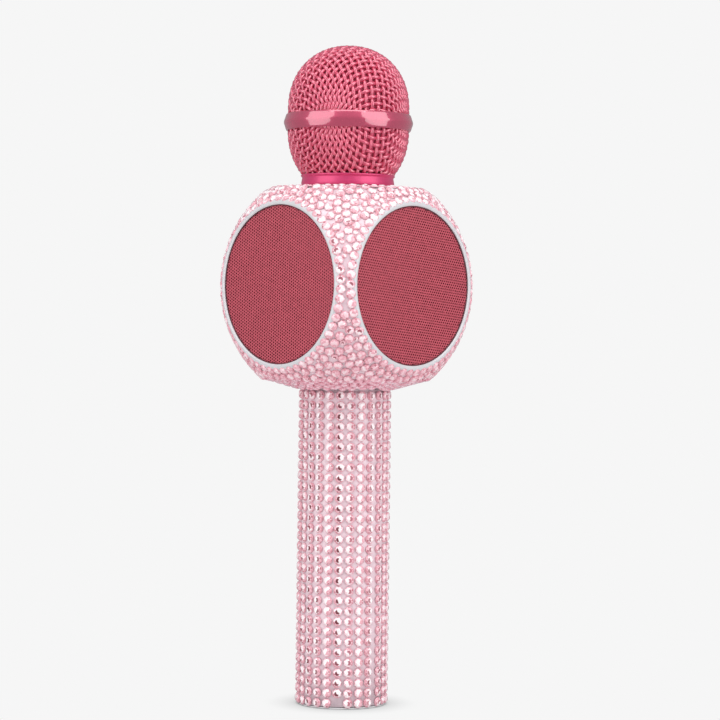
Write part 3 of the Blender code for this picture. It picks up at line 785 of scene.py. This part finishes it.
def grid_skin(name, rings, sides, material, wanted):
    """A turned skin as a grid, without the cells whose middle isn't wanted."""
    points = turned_points(rings, sides)
    faces = []
    for ring in range(len(rings) - 1):
        for side in range(sides):
            beside = (side + 1) % sides
            a, b = ring * sides + side, ring * sides + beside
            middle = (Vector(points[a]) + Vector(points[b + sides])) / 2
            if wanted(middle):
                faces.append((a, a + sides, b + sides, b))
    return mesh_object(name, points, faces, material)


def outside_faces(point):
    """Whether a point of the ball's skin is outside the four bezels."""
    out = point - Vector((0.0, 0.0, BALL_Z))
    for turn in FACE_TURNS.values():
        axis = bearing(turn)
        along = out.dot(axis)
        if along > 0 and (out - axis * along).length < BEZEL_R - 0.6:
            return False
    return True


def refined(profile, longest):
    """A profile with points added along its longer legs."""
    result = [profile[0]]
    for (r1, z1), (r2, z2) in zip(profile[:-1], profile[1:]):
        count = max(int(math.hypot(r2 - r1, z2 - z1) / longest), 1)
        for step in range(1, count + 1):
            share = step / count
            result.append((r1 + (r2 - r1) * share, z1 + (z2 - z1) * share))
    return result


def build_skins():
    """The smooth mouldings that show between the stones."""
    rings = refined(ball_profile(STONE_HIGH + GLUE), 1.0)
    ball = grid_skin("ball_skin", rings, 288, SHELL, outside_faces)
    piece(ball, "body", "shell_white")
    base = lathe("base_skin", base_profile(STONE_HIGH + GLUE), ROSY_SHELL, 160, closed=False)
    piece(base, "body", "shell_white")

    def off_panel(point):
        beside_panel = abs(point.x) > PANEL_HALF - PANEL_LAP or point.y < 0
        return beside_panel or not PANEL_LOW + PANEL_LAP < point.z < PANEL_HIGH - PANEL_LAP

    heights = [HANDLE_LOW, PANEL_LOW + 0.2, PANEL_HIGH - 0.2, HANDLE_HIGH]
    rings = [(handle_radius(z) - STONE_HIGH - GLUE, z) for z in heights]
    rings.insert(0, (rings[0][0] - 1.2, HANDLE_LOW))
    handle = grid_skin("handle_skin", rings, 360, SHELL, off_panel)
    piece(handle, "body", "shell_white")


def base_stones():
    """Rosier stones on the cone under the ball."""
    profile = base_profile(STONE_HIGH)
    spots, normals = onto_profile(packed(profile, BALL_PITCH * 0.97, 21), profile)
    stones = Stones(6)
    pick = random.Random(9)
    for spot, normal, size in zip(spots, normals, sizes_to_fit(spots, BALL_STONE)):
        white_glint = pick.uniform(0.1, 0.6)
        bright = pick.uniform(0, 6.28)
        stones.add(spot, normal, pick.uniform(0, 1), 0.1, white_glint, bright, 1.0, size)
    obj = stones.build("base_stones", ROSE_STONES)
    return piece(obj, "body", "crystal_rose", "base_crystals")


# Painted reflections of one column's stones, alike because they face the lights alike: (dark
# reflection, white glint, highlighted side in degrees)
COLUMN_REFLECTIONS = (
    (0.95, 0.90, 20.0),
    (0.60, 0.85, 190.0),
    (0.30, 0.95, 160.0),
    (0.75, 0.85, 10.0),
    (0.70, 0.65, 330.0),
    (0.45, 0.55, 90.0),
    (0.50, 0.60, 140.0),
    (0.75, 0.70, 60.0),
    (0.90, 0.85, 200.0),
    (0.85, 0.90, 170.0),
    (0.35, 0.90, 150.0),
)
SEAM_AFTER = 3  # a gap between two columns, opening towards the handle's foot
SEAM_OPEN = 5.0
PANEL_MARGIN = 2.3
PANEL_LAP = 0.3  # the panel's edge hides this much of the handle's skin


def handle_radius(z):
    share = (z - HANDLE_LOW) / (HANDLE_HIGH - HANDLE_LOW)
    return HANDLE_LOW_R - HANDLE_TAPER * share


def handle_stones():
    """Stones on the handle in upright columns, with one gone from the lowest row."""
    stones = Stones(7)
    pick = random.Random(10)
    first_z = HANDLE_LOW + FIRST_ROW
    for column in range(COLUMNS):
        after = column if column <= COLUMNS // 2 else column - COLUMNS
        dark_reflection, white_glint, bright = COLUMN_REFLECTIONS[(after + 11) % len(COLUMN_REFLECTIONS)]
        for row in range(ROWS):
            z = first_z + PITCH * row
            azimuth = FIRST_COLUMN + 360.0 / COLUMNS * after
            if after > SEAM_AFTER:
                azimuth += SEAM_OPEN * (1 - row / ROWS) * (1 - after / COLUMNS)
            azimuth = math.radians(azimuth + pick.gauss(0.0, COLUMN_WANDER))
            radius = handle_radius(z) - STONE_HIGH
            spot = Vector((radius * math.cos(azimuth), radius * math.sin(azimuth), z))
            spot.z += pick.gauss(0.0, ROW_WANDER)
            over_panel = PANEL_LOW - PANEL_MARGIN < z < PANEL_HIGH + PANEL_MARGIN
            if spot.y > 0 and over_panel and abs(spot.x) < PANEL_HALF + STONE_R + 0.3:
                continue
            if column == 0 and row == 0:
                continue
            out = (math.cos(azimuth), math.sin(azimuth), 0.0)
            stones.add(
                spot,
                out,
                0.35,
                min(max(dark_reflection + pick.uniform(-REFLECTION_SPREAD, REFLECTION_SPREAD), 0.0), 0.95),
                min(max(white_glint + pick.uniform(-REFLECTION_SPREAD, REFLECTION_SPREAD), 0.0), 1.0),
                math.radians(bright) + pick.uniform(-0.3, 0.3),
                min(max(pick.uniform(0.1, 0.6), 0.0), 1.0),
            )
    obj = stones.build("handle_stones", PINK_STONES)
    return piece(obj, "body", "crystal_pink", "handle_crystals")


# ---------------------------------------------------------------- woven head


class Shell:
    """A rounded cap of revolution that ends in a straight wall, standing for one wire net."""

    def __init__(self, radius, height, power, centre, sense):
        self.radius, self.height, self.power = radius, height, power
        self.centre, self.sense = centre, sense

    def level(self, p):
        """How far outside the shell a point is, scaled to its radius."""
        r = math.hypot(p.x, p.y) / self.radius
        h = max((p.z - self.centre) * self.sense / self.height, 0.0)
        return (r**self.power + h**self.power) ** (1 / self.power) - 1

    def normal(self, p):
        step = 0.01
        gradient = [
            self.level(p + Vector(axis) * step) - self.level(p - Vector(axis) * step)
            for axis in ((1, 0, 0), (0, 1, 0), (0, 0, 1))
        ]
        return Vector(gradient).normalized()

    def onto(self, p):
        for _ in range(4):
            p = p - self.normal(p) * self.level(p) * self.radius
        return p


def walk(shell, direction, count):
    """Steps of one pitch from the pole along a straight line over the shell."""
    pole = Vector((0.0, 0.0, shell.centre + shell.sense * shell.height))
    line = [pole]
    heading = direction.copy()
    for _ in range(count):
        nearer = line[-1] + heading * WIRE_PITCH
        for _ in range(4):
            nearer = shell.onto(nearer)
            nearer = line[-1] + (nearer - line[-1]).normalized() * WIRE_PITCH
        heading = (nearer - line[-1]).normalized()
        heading = (heading - shell.normal(nearer) * heading.dot(shell.normal(nearer))).normalized()
        line.append(nearer)
    return line


def corner_of(shell, a, b, before):
    """The crossing one pitch from both a and b, on the far side from the one before."""
    guess = a + b - before
    for _ in range(14):
        guess = shell.onto(guess)
        for anchor in (a, b):
            reach = guess - anchor
            if reach.length > 1e-6:
                guess = anchor + reach * (1 + 0.8 * (WIRE_PITCH / reach.length - 1))
    return shell.onto(guess)


def draped_net(shell, count):
    """Crossings of a square net draped over the shell, by their place in the net."""
    turn = math.radians(WEAVE_TURN)
    along = Vector((math.cos(turn), math.sin(turn), 0.0))
    across = Vector((-math.sin(turn), math.cos(turn), 0.0))
    net = {}
    for sign in (1, -1):
        for step, point in enumerate(walk(shell, along * sign, count)):
            net[(sign * step, 0)] = point
        for step, point in enumerate(walk(shell, across * sign, count)):
            net[(0, sign * step)] = point
    for i_sign in (1, -1):
        for j_sign in (1, -1):
            for i in range(1, count + 1):
                for j in range(1, count + 1):
                    a = net[((i - 1) * i_sign, j * j_sign)]
                    b = net[(i * i_sign, (j - 1) * j_sign)]
                    before = net[((i - 1) * i_sign, (j - 1) * j_sign)]
                    net[(i * i_sign, j * j_sign)] = corner_of(shell, a, b, before)
    return net


def threads(shell, net, count, keep, crimp):
    """Runs of crimped points for every wire of a net, where keep allows them."""
    runs = []
    for family in (0, 1):
        for line in range(-count, count + 1):
            run = []
            for step in range(-count, count + 1):
                key = (line, step) if family == 0 else (step, line)
                point = net[key]
                over = 1 if (line + step + family) % 2 == 0 else -1
                run.append((point, shell.normal(point) * crimp * over, keep(point)))
            current = []
            for point, offset, kept in run:
                if kept:
                    current.append(point + offset)
                    continue
                if len(current) > 1:
                    runs.append(current)
                current = []
            if len(current) > 1:
                runs.append(current)
    return runs


def wire_object(name, runs, material):
    """Round wires swept along smooth curves through their crimped crossings."""
    curve = bpy.data.curves.new(name, "CURVE")
    curve.dimensions = "3D"
    curve.bevel_depth = WIRE_R * MM
    curve.bevel_resolution = 1
    curve.resolution_u = 4
    for run in runs:
        spline = curve.splines.new("BEZIER")
        spline.bezier_points.add(len(run) - 1)
        for index, (knot, point) in enumerate(zip(spline.bezier_points, run)):
            before = run[max(index - 1, 0)]
            after = run[min(index + 1, len(run) - 1)]
            lean = (after - before).normalized() * WIRE_PITCH * WIRE_LEAN
            knot.co = point * MM
            knot.handle_left = (point - lean) * MM
            knot.handle_right = (point + lean) * MM
    shape = linked(name + "_path", curve)
    bpy.context.view_layer.update()
    state = bpy.context.evaluated_depsgraph_get()
    mesh = bpy.data.meshes.new_from_object(shape.evaluated_get(state))
    bpy.data.objects.remove(shape)
    bpy.data.curves.remove(curve)
    mesh.polygons.foreach_set("use_smooth", [True] * len(mesh.polygons))
    mesh.materials.clear()
    mesh.materials.append(material)
    mesh.name = name
    return linked(name, mesh)


def build_head():
    """Woven dome and basket, the foam behind them, the band and the collar."""
    middle = HEAD_R - WIRE_R - WIRE_CRIMP
    dome = Shell(middle, HEAD_TOP - DOME_Z - WIRE_R - WIRE_CRIMP, DOME_POWER, DOME_Z, 1)
    net = draped_net(dome, WIRES)
    inside_band = (BAND_LOW + BAND_HIGH) / 2 + 0.3
    runs = threads(dome, net, WIRES, lambda p: p.z > inside_band, WIRE_CRIMP)
    dome_wires = wire_object("dome_wires", runs, WIRE)
    piece(dome_wires, "head", "mesh_magenta", "head_dome_mesh")

    basket = Shell(middle, BASKET_DROP - WIRE_R - WIRE_CRIMP, 2.0, BASKET_TOP, -1)
    net = draped_net(basket, WIRES)
    inside_collar = COLLAR_HIGH - 2.4
    runs = threads(
        basket, net, WIRES, lambda p: inside_collar < p.z < inside_band - 0.3, WIRE_CRIMP
    )
    basket_wires = wire_object("basket_wires", runs, WIRE)
    piece(basket_wires, "head", "mesh_magenta", "head_basket_mesh")

    build_foam()
    build_band()
    build_collar()


def build_foam():
    """Foam liner close behind the wires."""
    outer = HEAD_R - FOAM_BEHIND
    profile = []
    for step in range(25):
        angle = math.pi / 2 * (1 - step / 24)
        r = max(math.cos(angle), 0.0) ** (2 / DOME_POWER) * outer
        z = DOME_Z + math.sin(angle) ** (2 / DOME_POWER) * (HEAD_TOP - DOME_Z - FOAM_BEHIND)
        profile.append((max(r, 0.05), z))
    for step in range(1, 17):
        z = BASKET_TOP + (COLLAR_HIGH + 1.6 - BASKET_TOP) * step / 16
        drop = (BASKET_TOP - z) / (BASKET_DROP - FOAM_BEHIND)
        profile.append((outer * math.sqrt(max(1 - drop**2, 0.0)), z))
    inner = [(max(r - 1.5, 0.04), z - (1.4 if z > DOME_Z else 0.0)) for r, z in reversed(profile)]
    obj = lathe("head_foam", profile + inner, FOAM, 96)
    piece(obj, "head", "foam_pink", "pop_foam")


def build_band():
    """The band: a broad ring whose two slanted faces meet in a soft ridge."""
    mid = (BAND_LOW + BAND_HIGH) / 2
    edge_r = BAND_R - 1.15
    profile = [
        (HEAD_R - 1.2, BAND_LOW + 0.3),
        (edge_r, BAND_LOW),
        (edge_r + 0.25, BAND_LOW + 0.5),
        (BAND_R, mid),
        (edge_r + 0.25, BAND_HIGH - 0.5),
        (edge_r, BAND_HIGH),
        (HEAD_R - 1.2, BAND_HIGH - 0.3),
    ]
    piece(lathe("band_ring", rounded(profile, 0.7), LACQUER), "head", "metal_magenta", "head_band")


def build_collar():
    """The collar under the basket, flared upwards with a rolled lip."""
    low_r = 18.2
    high_r = high("head_collar")[0]
    profile = [
        (low_r - 1.2, COLLAR_LOW),
        (low_r, COLLAR_LOW),
        (low_r + 0.1, COLLAR_LOW + 1.2),
        (high_r - 0.6, COLLAR_HIGH - 1.0),
        (high_r, COLLAR_HIGH - 0.6),
        (high_r, COLLAR_HIGH),
        (low_r - 1.2, COLLAR_HIGH),
    ]
    obj = lathe("collar_ring", rounded(profile, 0.4), SATIN)
    piece(obj, "head", "metal_magenta", "head_collar")


# ---------------------------------------------------------------- speaker faces


def perforated_sheet(name, turn):
    """A round sheet with staggered round holes that go right through it."""
    points, faces = [], []
    known = {}
    thick = 0.35

    def point(x, y, z):
        key = (round(x, 3), round(y, 3), z)
        if key not in known:
            known[key] = len(points)
            points.append((x, y, z))
        return known[key]

    edge = HOLE_PITCH / math.sqrt(3)
    rows = int(GRILLE_R / (HOLE_PITCH * 0.866)) + 1
    columns = int(GRILLE_R / HOLE_PITCH) + 1
    cos_turn, sin_turn = math.cos(turn), math.sin(turn)
    for row in range(-rows, rows + 1):
        for column in range(-columns, columns + 1):
            x = (column + (row % 2) * 0.5) * HOLE_PITCH
            y = row * HOLE_PITCH * math.sqrt(3) / 2
            if math.hypot(x, y) > GRILLE_R - edge:
                continue
            outer, front, back = [], [], []
            for side in range(12):
                angle = math.pi / 6 * side + math.pi / 6
                reach = edge if side % 2 == 0 else edge * math.cos(math.pi / 6)
                for ring, radius, z in (
                    (outer, reach, GRILLE_TOP),
                    (front, HOLE_R, GRILLE_TOP),
                    (back, HOLE_R * 0.96, GRILLE_TOP - thick),
                ):
                    px, py = x + radius * math.cos(angle), y + radius * math.sin(angle)
                    px, py = px * cos_turn - py * sin_turn, px * sin_turn + py * cos_turn
                    ring.append(point(px, py, z))
            for side in range(12):
                beside = (side + 1) % 12
                faces.append((outer[side], outer[beside], front[beside], front[side]))
                faces.append((front[side], front[beside], back[beside], back[side]))
    return mesh_object(name, points, faces, GRILLE, smooth=False)


def build_faces():
    """Bezel, perforated sheet with its rolled rim, and cloth of each speaker face."""
    lean = {"driver_left": 0.06, "driver_right": 0.42, "passive_right": 0.06, "passive_left": 0.42}
    bezel = [
        (BEZEL_R, BEZEL_SEAT),
        (BEZEL_R, BEZEL_TOP - 0.85),
        (BEZEL_R - 0.9, BEZEL_TOP - 0.05),
        (BEZEL_IN_R + 0.5, BEZEL_TOP),
        (BEZEL_IN_R, BEZEL_TOP - 0.3),
        (BEZEL_IN_R, GRILLE_TOP + 0.15),
        (GRILLE_R + 0.25, GRILLE_TOP + 0.15),
        (GRILLE_R + 0.25, BEZEL_SEAT),
    ]
    rim = [
        (GRILLE_R, GRILLE_TOP - 0.4),
        (GRILLE_R, GRILLE_TOP + 0.03),
        (GRILLE_R - 0.75, GRILLE_TOP + 0.03),
        (GRILLE_R - 0.75, GRILLE_TOP - 0.4),
    ]
    cloth_top = GRILLE_TOP - 0.65
    backing = [
        (0.05, cloth_top),
        (GRILLE_R - 0.1, cloth_top),
        (GRILLE_R - 0.1, cloth_top - 0.05),
        (0.05, cloth_top - 0.05),
    ]
    for name in FACE_TURNS:
        place = face_matrix(name)
        ring = lathe(f"bezel_ring_{name}", rounded(bezel, 0.35), BEZEL, 192)
        sheet = perforated_sheet(f"perforated_{name}", lean[name])
        lip = lathe(f"grille_rim_{name}", rounded(rim, 0.12, 3), GRILLE_GAP_SHADE, 192)
        back = lathe(f"grille_cloth_{name}", backing, CLOTH, 96)
        for obj in (ring, sheet, lip, back):
            obj.matrix_world = place
        piece(ring, "body", "bezel_white", f"bezel_{name}")
        piece(sheet, "body", "grille_crimson", f"grille_{name}")
        piece(lip, "body", "grille_crimson")
        piece(back, "body", "grille_crimson")


# ---------------------------------------------------------------- controls on the back

ICON_HIGH = 0.15
ICON_SINK = 0.02  # an icon's top lies this far under the cap's rim
CAP_RIM = 0.86  # share of a cap's radius where its rim ends
CAP_DISH = 0.78  # share of a cap's radius where its dish begins
DISH_EDGE_DEEP = 0.12
DISH_DEEP = 0.16
CAP_EDGE = 0.22
KNOB_EDGE = 0.2
KNOB_RIBS = 3
RIB_ROOT = 0.35  # depth of the knob's body under the knob's outer face
RIB_HIGH = 0.3
RIB_THICK = 0.28
RIB_LENGTH = 0.76  # share of the knob's width


def facing_back(name):
    """Frame of a control: +Z points out of the back, from the middle of its outer face."""
    bottom, top = low(name), high(name)
    place = Matrix.Translation(((bottom[0] + top[0]) / 2, top[1], (bottom[2] + top[2]) / 2))
    return place @ Matrix.Rotation(math.pi, 4, "Z") @ Matrix.Rotation(math.pi / 2, 4, "X")


def moved_to(obj, matrix):
    """Apply a frame given in millimetres to a mesh."""
    matrix = matrix.copy()
    matrix.translation *= MM
    obj.data.transform(matrix)
    return obj


def slab(name, outlines, height, material):
    """Flat shapes of one height standing on the plane z = 0."""
    points, faces = [], []
    for outline in outlines:
        first, count = len(points), len(outline)
        points += [(x, y, -0.05) for x, y in outline] + [(x, y, height) for x, y in outline]
        faces.append([first + count + index for index in range(count)])
        faces.append([first + index for index in reversed(range(count))])
        for index in range(count):
            beside = (index + 1) % count
            low_edge = (first + index, first + beside)
            faces.append((*low_edge, first + count + beside, first + count + index))
    return mesh_object(name, points, faces, material, smooth=False)


def bar(x, y, width, height):
    return [(x, y), (x + width, y), (x + width, y + height), (x, y + height)]


def arrow(x, width, half):
    """A triangle pointing towards +X, or towards -X where its width is negative."""
    corners = [(x, -half), (x + width, 0.0), (x, half)]
    return corners if width > 0 else corners[::-1]


def arc(radius, thickness, start, end, steps=24):
    """Part of a ring as short slabs, angles in degrees."""
    pieces = []
    for step in range(steps):
        a = math.radians(start + (end - start) * step / steps)
        b = math.radians(start + (end - start) * (step + 1) / steps)
        outer, inner = radius + thickness / 2, radius - thickness / 2
        pieces.append(
            [
                (inner * math.cos(a), inner * math.sin(a)),
                (outer * math.cos(a), outer * math.sin(a)),
                (outer * math.cos(b), outer * math.sin(b)),
                (inner * math.cos(b), inner * math.sin(b)),
            ]
        )
    return pieces


BUTTON_ICONS = {
    "power_button": [bar(-0.2, 0.2, 0.4, 1.5), *arc(1.35, 0.4, 125.0, 415.0)],
    "previous_button": [
        bar(-1.1, -0.75, 0.3, 1.5),
        arrow(0.1, -0.8, 0.75),
        arrow(1.0, -0.8, 0.75),
    ],
    "play_button": [arrow(-0.9, 1.1, 0.8), bar(0.4, -0.8, 0.25, 1.6), bar(0.85, -0.8, 0.25, 1.6)],
    "next_button": [arrow(-1.0, 0.8, 0.75), arrow(-0.1, 0.8, 0.75), bar(0.8, -0.75, 0.3, 1.5)],
    "mode_button": [bar(-1.2, y, 2.4, 0.35) for y in (-0.95, -0.17, 0.6)],
}


def build_buttons():
    """Round caps with a soft edge, a shallow dish and a raised icon."""
    for name, icon in BUTTON_ICONS.items():
        radius = (high(name)[0] - low(name)[0]) / 2
        depth = high(name)[1] - low(name)[1]
        profile = [
            (0.02, -depth),
            (radius, -depth),
            (radius, 0.0),
            (radius * CAP_RIM, 0.0),
            (radius * CAP_DISH, -DISH_EDGE_DEEP),
            (0.02, -DISH_DEEP),
        ]
        cap = lathe(f"{name}_cap", rounded(profile, CAP_EDGE), BUTTON, 64)
        piece(moved_to(cap, facing_back(name)), name, "shell_white", name)
        ink = slab(f"{name}_icon", icon, ICON_HIGH, INK)
        seat = facing_back(name) @ Matrix.Translation((0.0, 0.0, -ICON_HIGH - ICON_SINK))
        piece(moved_to(ink, seat), name, "metal_magenta")


def build_knobs():
    """Slider knobs with ribs across them."""
    for name in ("mic_volume_slider", "echo_slider", "music_volume_slider"):
        bottom, top = low(name), high(name)
        wide, tall = top[0] - bottom[0], top[2] - bottom[2]
        deep = top[1] - bottom[1]
        outline = [(-wide / 2, -tall / 2), (wide / 2, -tall / 2)]
        outline += [(wide / 2, tall / 2), (-wide / 2, tall / 2)]
        body = slab(f"{name}_knob", [outline], deep - RIB_ROOT, BUTTON)
        seat = facing_back(name) @ Matrix.Translation((0.0, 0.0, -deep))
        soften(body, KNOB_EDGE)
        piece(moved_to(body, seat), name, "shell_white", name)
        gap, length = tall / (KNOB_RIBS + 1), wide * RIB_LENGTH
        ribs = [
            bar(-length / 2, gap * (rib + 1) - tall / 2 - RIB_THICK / 2, length, RIB_THICK)
            for rib in range(KNOB_RIBS)
        ]
        ribbed = slab(f"{name}_ribs", ribs, RIB_HIGH, BUTTON)
        seat = facing_back(name) @ Matrix.Translation((0.0, 0.0, -RIB_ROOT))
        piece(moved_to(ribbed, seat), name, "shell_white")


# ---------------------------------------------------------------- light, stage and camera


def emission(name, colour, shadow_reach=None):
    """A plain bright surface, darkened close to what stands on it if shadow_reach is given."""
    material = bpy.data.materials.new(name)
    material.use_nodes = True
    tree = material.node_tree
    tree.nodes.remove(tree.nodes["Principled BSDF"])
    light = add(tree, "ShaderNodeEmission", Color=(*colour, 1.0))
    if shadow_reach:
        occlusion = add(tree, "ShaderNodeAmbientOcclusion", Distance=shadow_reach * MM)
        tone = ramp(
            tree,
            occlusion.outputs["AO"],
            (0.0, shaded(colour, 0.1)),
            (0.6, shaded(colour, 0.8)),
            (0.97, colour),
        )
        tree.links.new(tone, light.inputs["Color"])
    tree.links.new(light.outputs["Emission"], tree.nodes["Material Output"].inputs["Surface"])
    material.cycles.emission_sampling = "NONE"
    return material


STUDIO = (0.922, 0.922, 0.922)
CONTACT_SHADOW = 14.0  # reach of the shadow where the object stands


def build_stage():
    """A plain pale floor and a backdrop that only the camera sees."""
    bpy.ops.mesh.primitive_circle_add(vertices=96, radius=3.0, fill_type="NGON")
    floor = bpy.context.object
    floor.name = "studio_floor"
    floor.data.materials.append(emission("floor_pale", STUDIO, CONTACT_SHADOW))
    bpy.ops.mesh.primitive_uv_sphere_add(segments=48, ring_count=24, radius=6.0)
    backdrop = bpy.context.object
    backdrop.name = "studio_backdrop"
    backdrop.data.materials.append(emission("backdrop_pale", STUDIO))
    floor.visible_glossy = False
    backdrop.visible_diffuse = False
    backdrop.visible_glossy = False
    backdrop.visible_transmission = False
    backdrop.visible_shadow = False


def softbox(name, azimuth, elevation, distance, width, height, radiance, target=0.14):
    """A large soft light aimed at the object, of a given brightness seen from it."""
    light = bpy.data.lights.new(name, "AREA")
    light.shape = "RECTANGLE"
    light.size = width
    light.size_y = height
    light.energy = radiance * math.pi * width * height
    obj = linked(name, light)
    out = bearing(azimuth, elevation)
    obj.location = out * distance + Vector((0.0, 0.0, target))
    obj.rotation_euler = out.to_track_quat("Z", "Y").to_euler()
    obj.visible_camera = False
    return obj


def build_lights():
    """Large softboxes left, right and above, two fills behind, and pale air all round."""
    softbox("softbox_left", -146.0, 10.0, 1.1, 1.0, 1.6, 1.7)
    softbox("softbox_right", -36.0, 10.0, 1.1, 1.0, 1.6, 1.9)
    softbox("softbox_top", -90.0, 68.0, 1.2, 1.2, 0.9, 2.2)
    for side, azimuth in (("left", 130.0), ("right", 50.0)):
        fill = softbox(f"softbox_back_{side}", azimuth, 25.0, 1.3, 0.8, 1.2, 1.0)
        fill.visible_glossy = False
    world = bpy.data.worlds.new("studio_air")
    world.use_nodes = True
    background = world.node_tree.nodes["Background"]
    background.inputs["Color"].default_value = (0.34, 0.34, 0.35, 1.0)
    bpy.context.scene.world = world
    bpy.context.scene.view_settings.view_transform = "Standard"


CAMERA_X = 5.7
CAMERA_Y = -940.0
CAMERA_Z = 150.0
CAMERA_PITCH = -0.90
CAMERA_ROLL = 0.72
LENS = 119.4


def build_camera():
    """The camera stands level with the speaker ball, tipped a little down and to one side."""
    camera = bpy.data.cameras.new("camera")
    camera.lens = LENS
    camera.sensor_width = 36.0
    camera.clip_start = 0.01
    obj = linked("camera", camera)
    level = Matrix.Rotation(math.radians(90.0 + CAMERA_PITCH), 4, "X")
    roll = Matrix.Rotation(math.radians(CAMERA_ROLL), 4, "Z")
    place = Matrix.Translation((CAMERA_X * MM, CAMERA_Y * MM, CAMERA_Z * MM))
    obj.matrix_world = place @ level @ roll
    bpy.context.scene.camera = obj


dress_frame()
build_skins()
ball_stones()
base_stones()
handle_stones()
build_head()
build_faces()
build_buttons()
build_knobs()
build_stage()
build_lights()
build_camera()
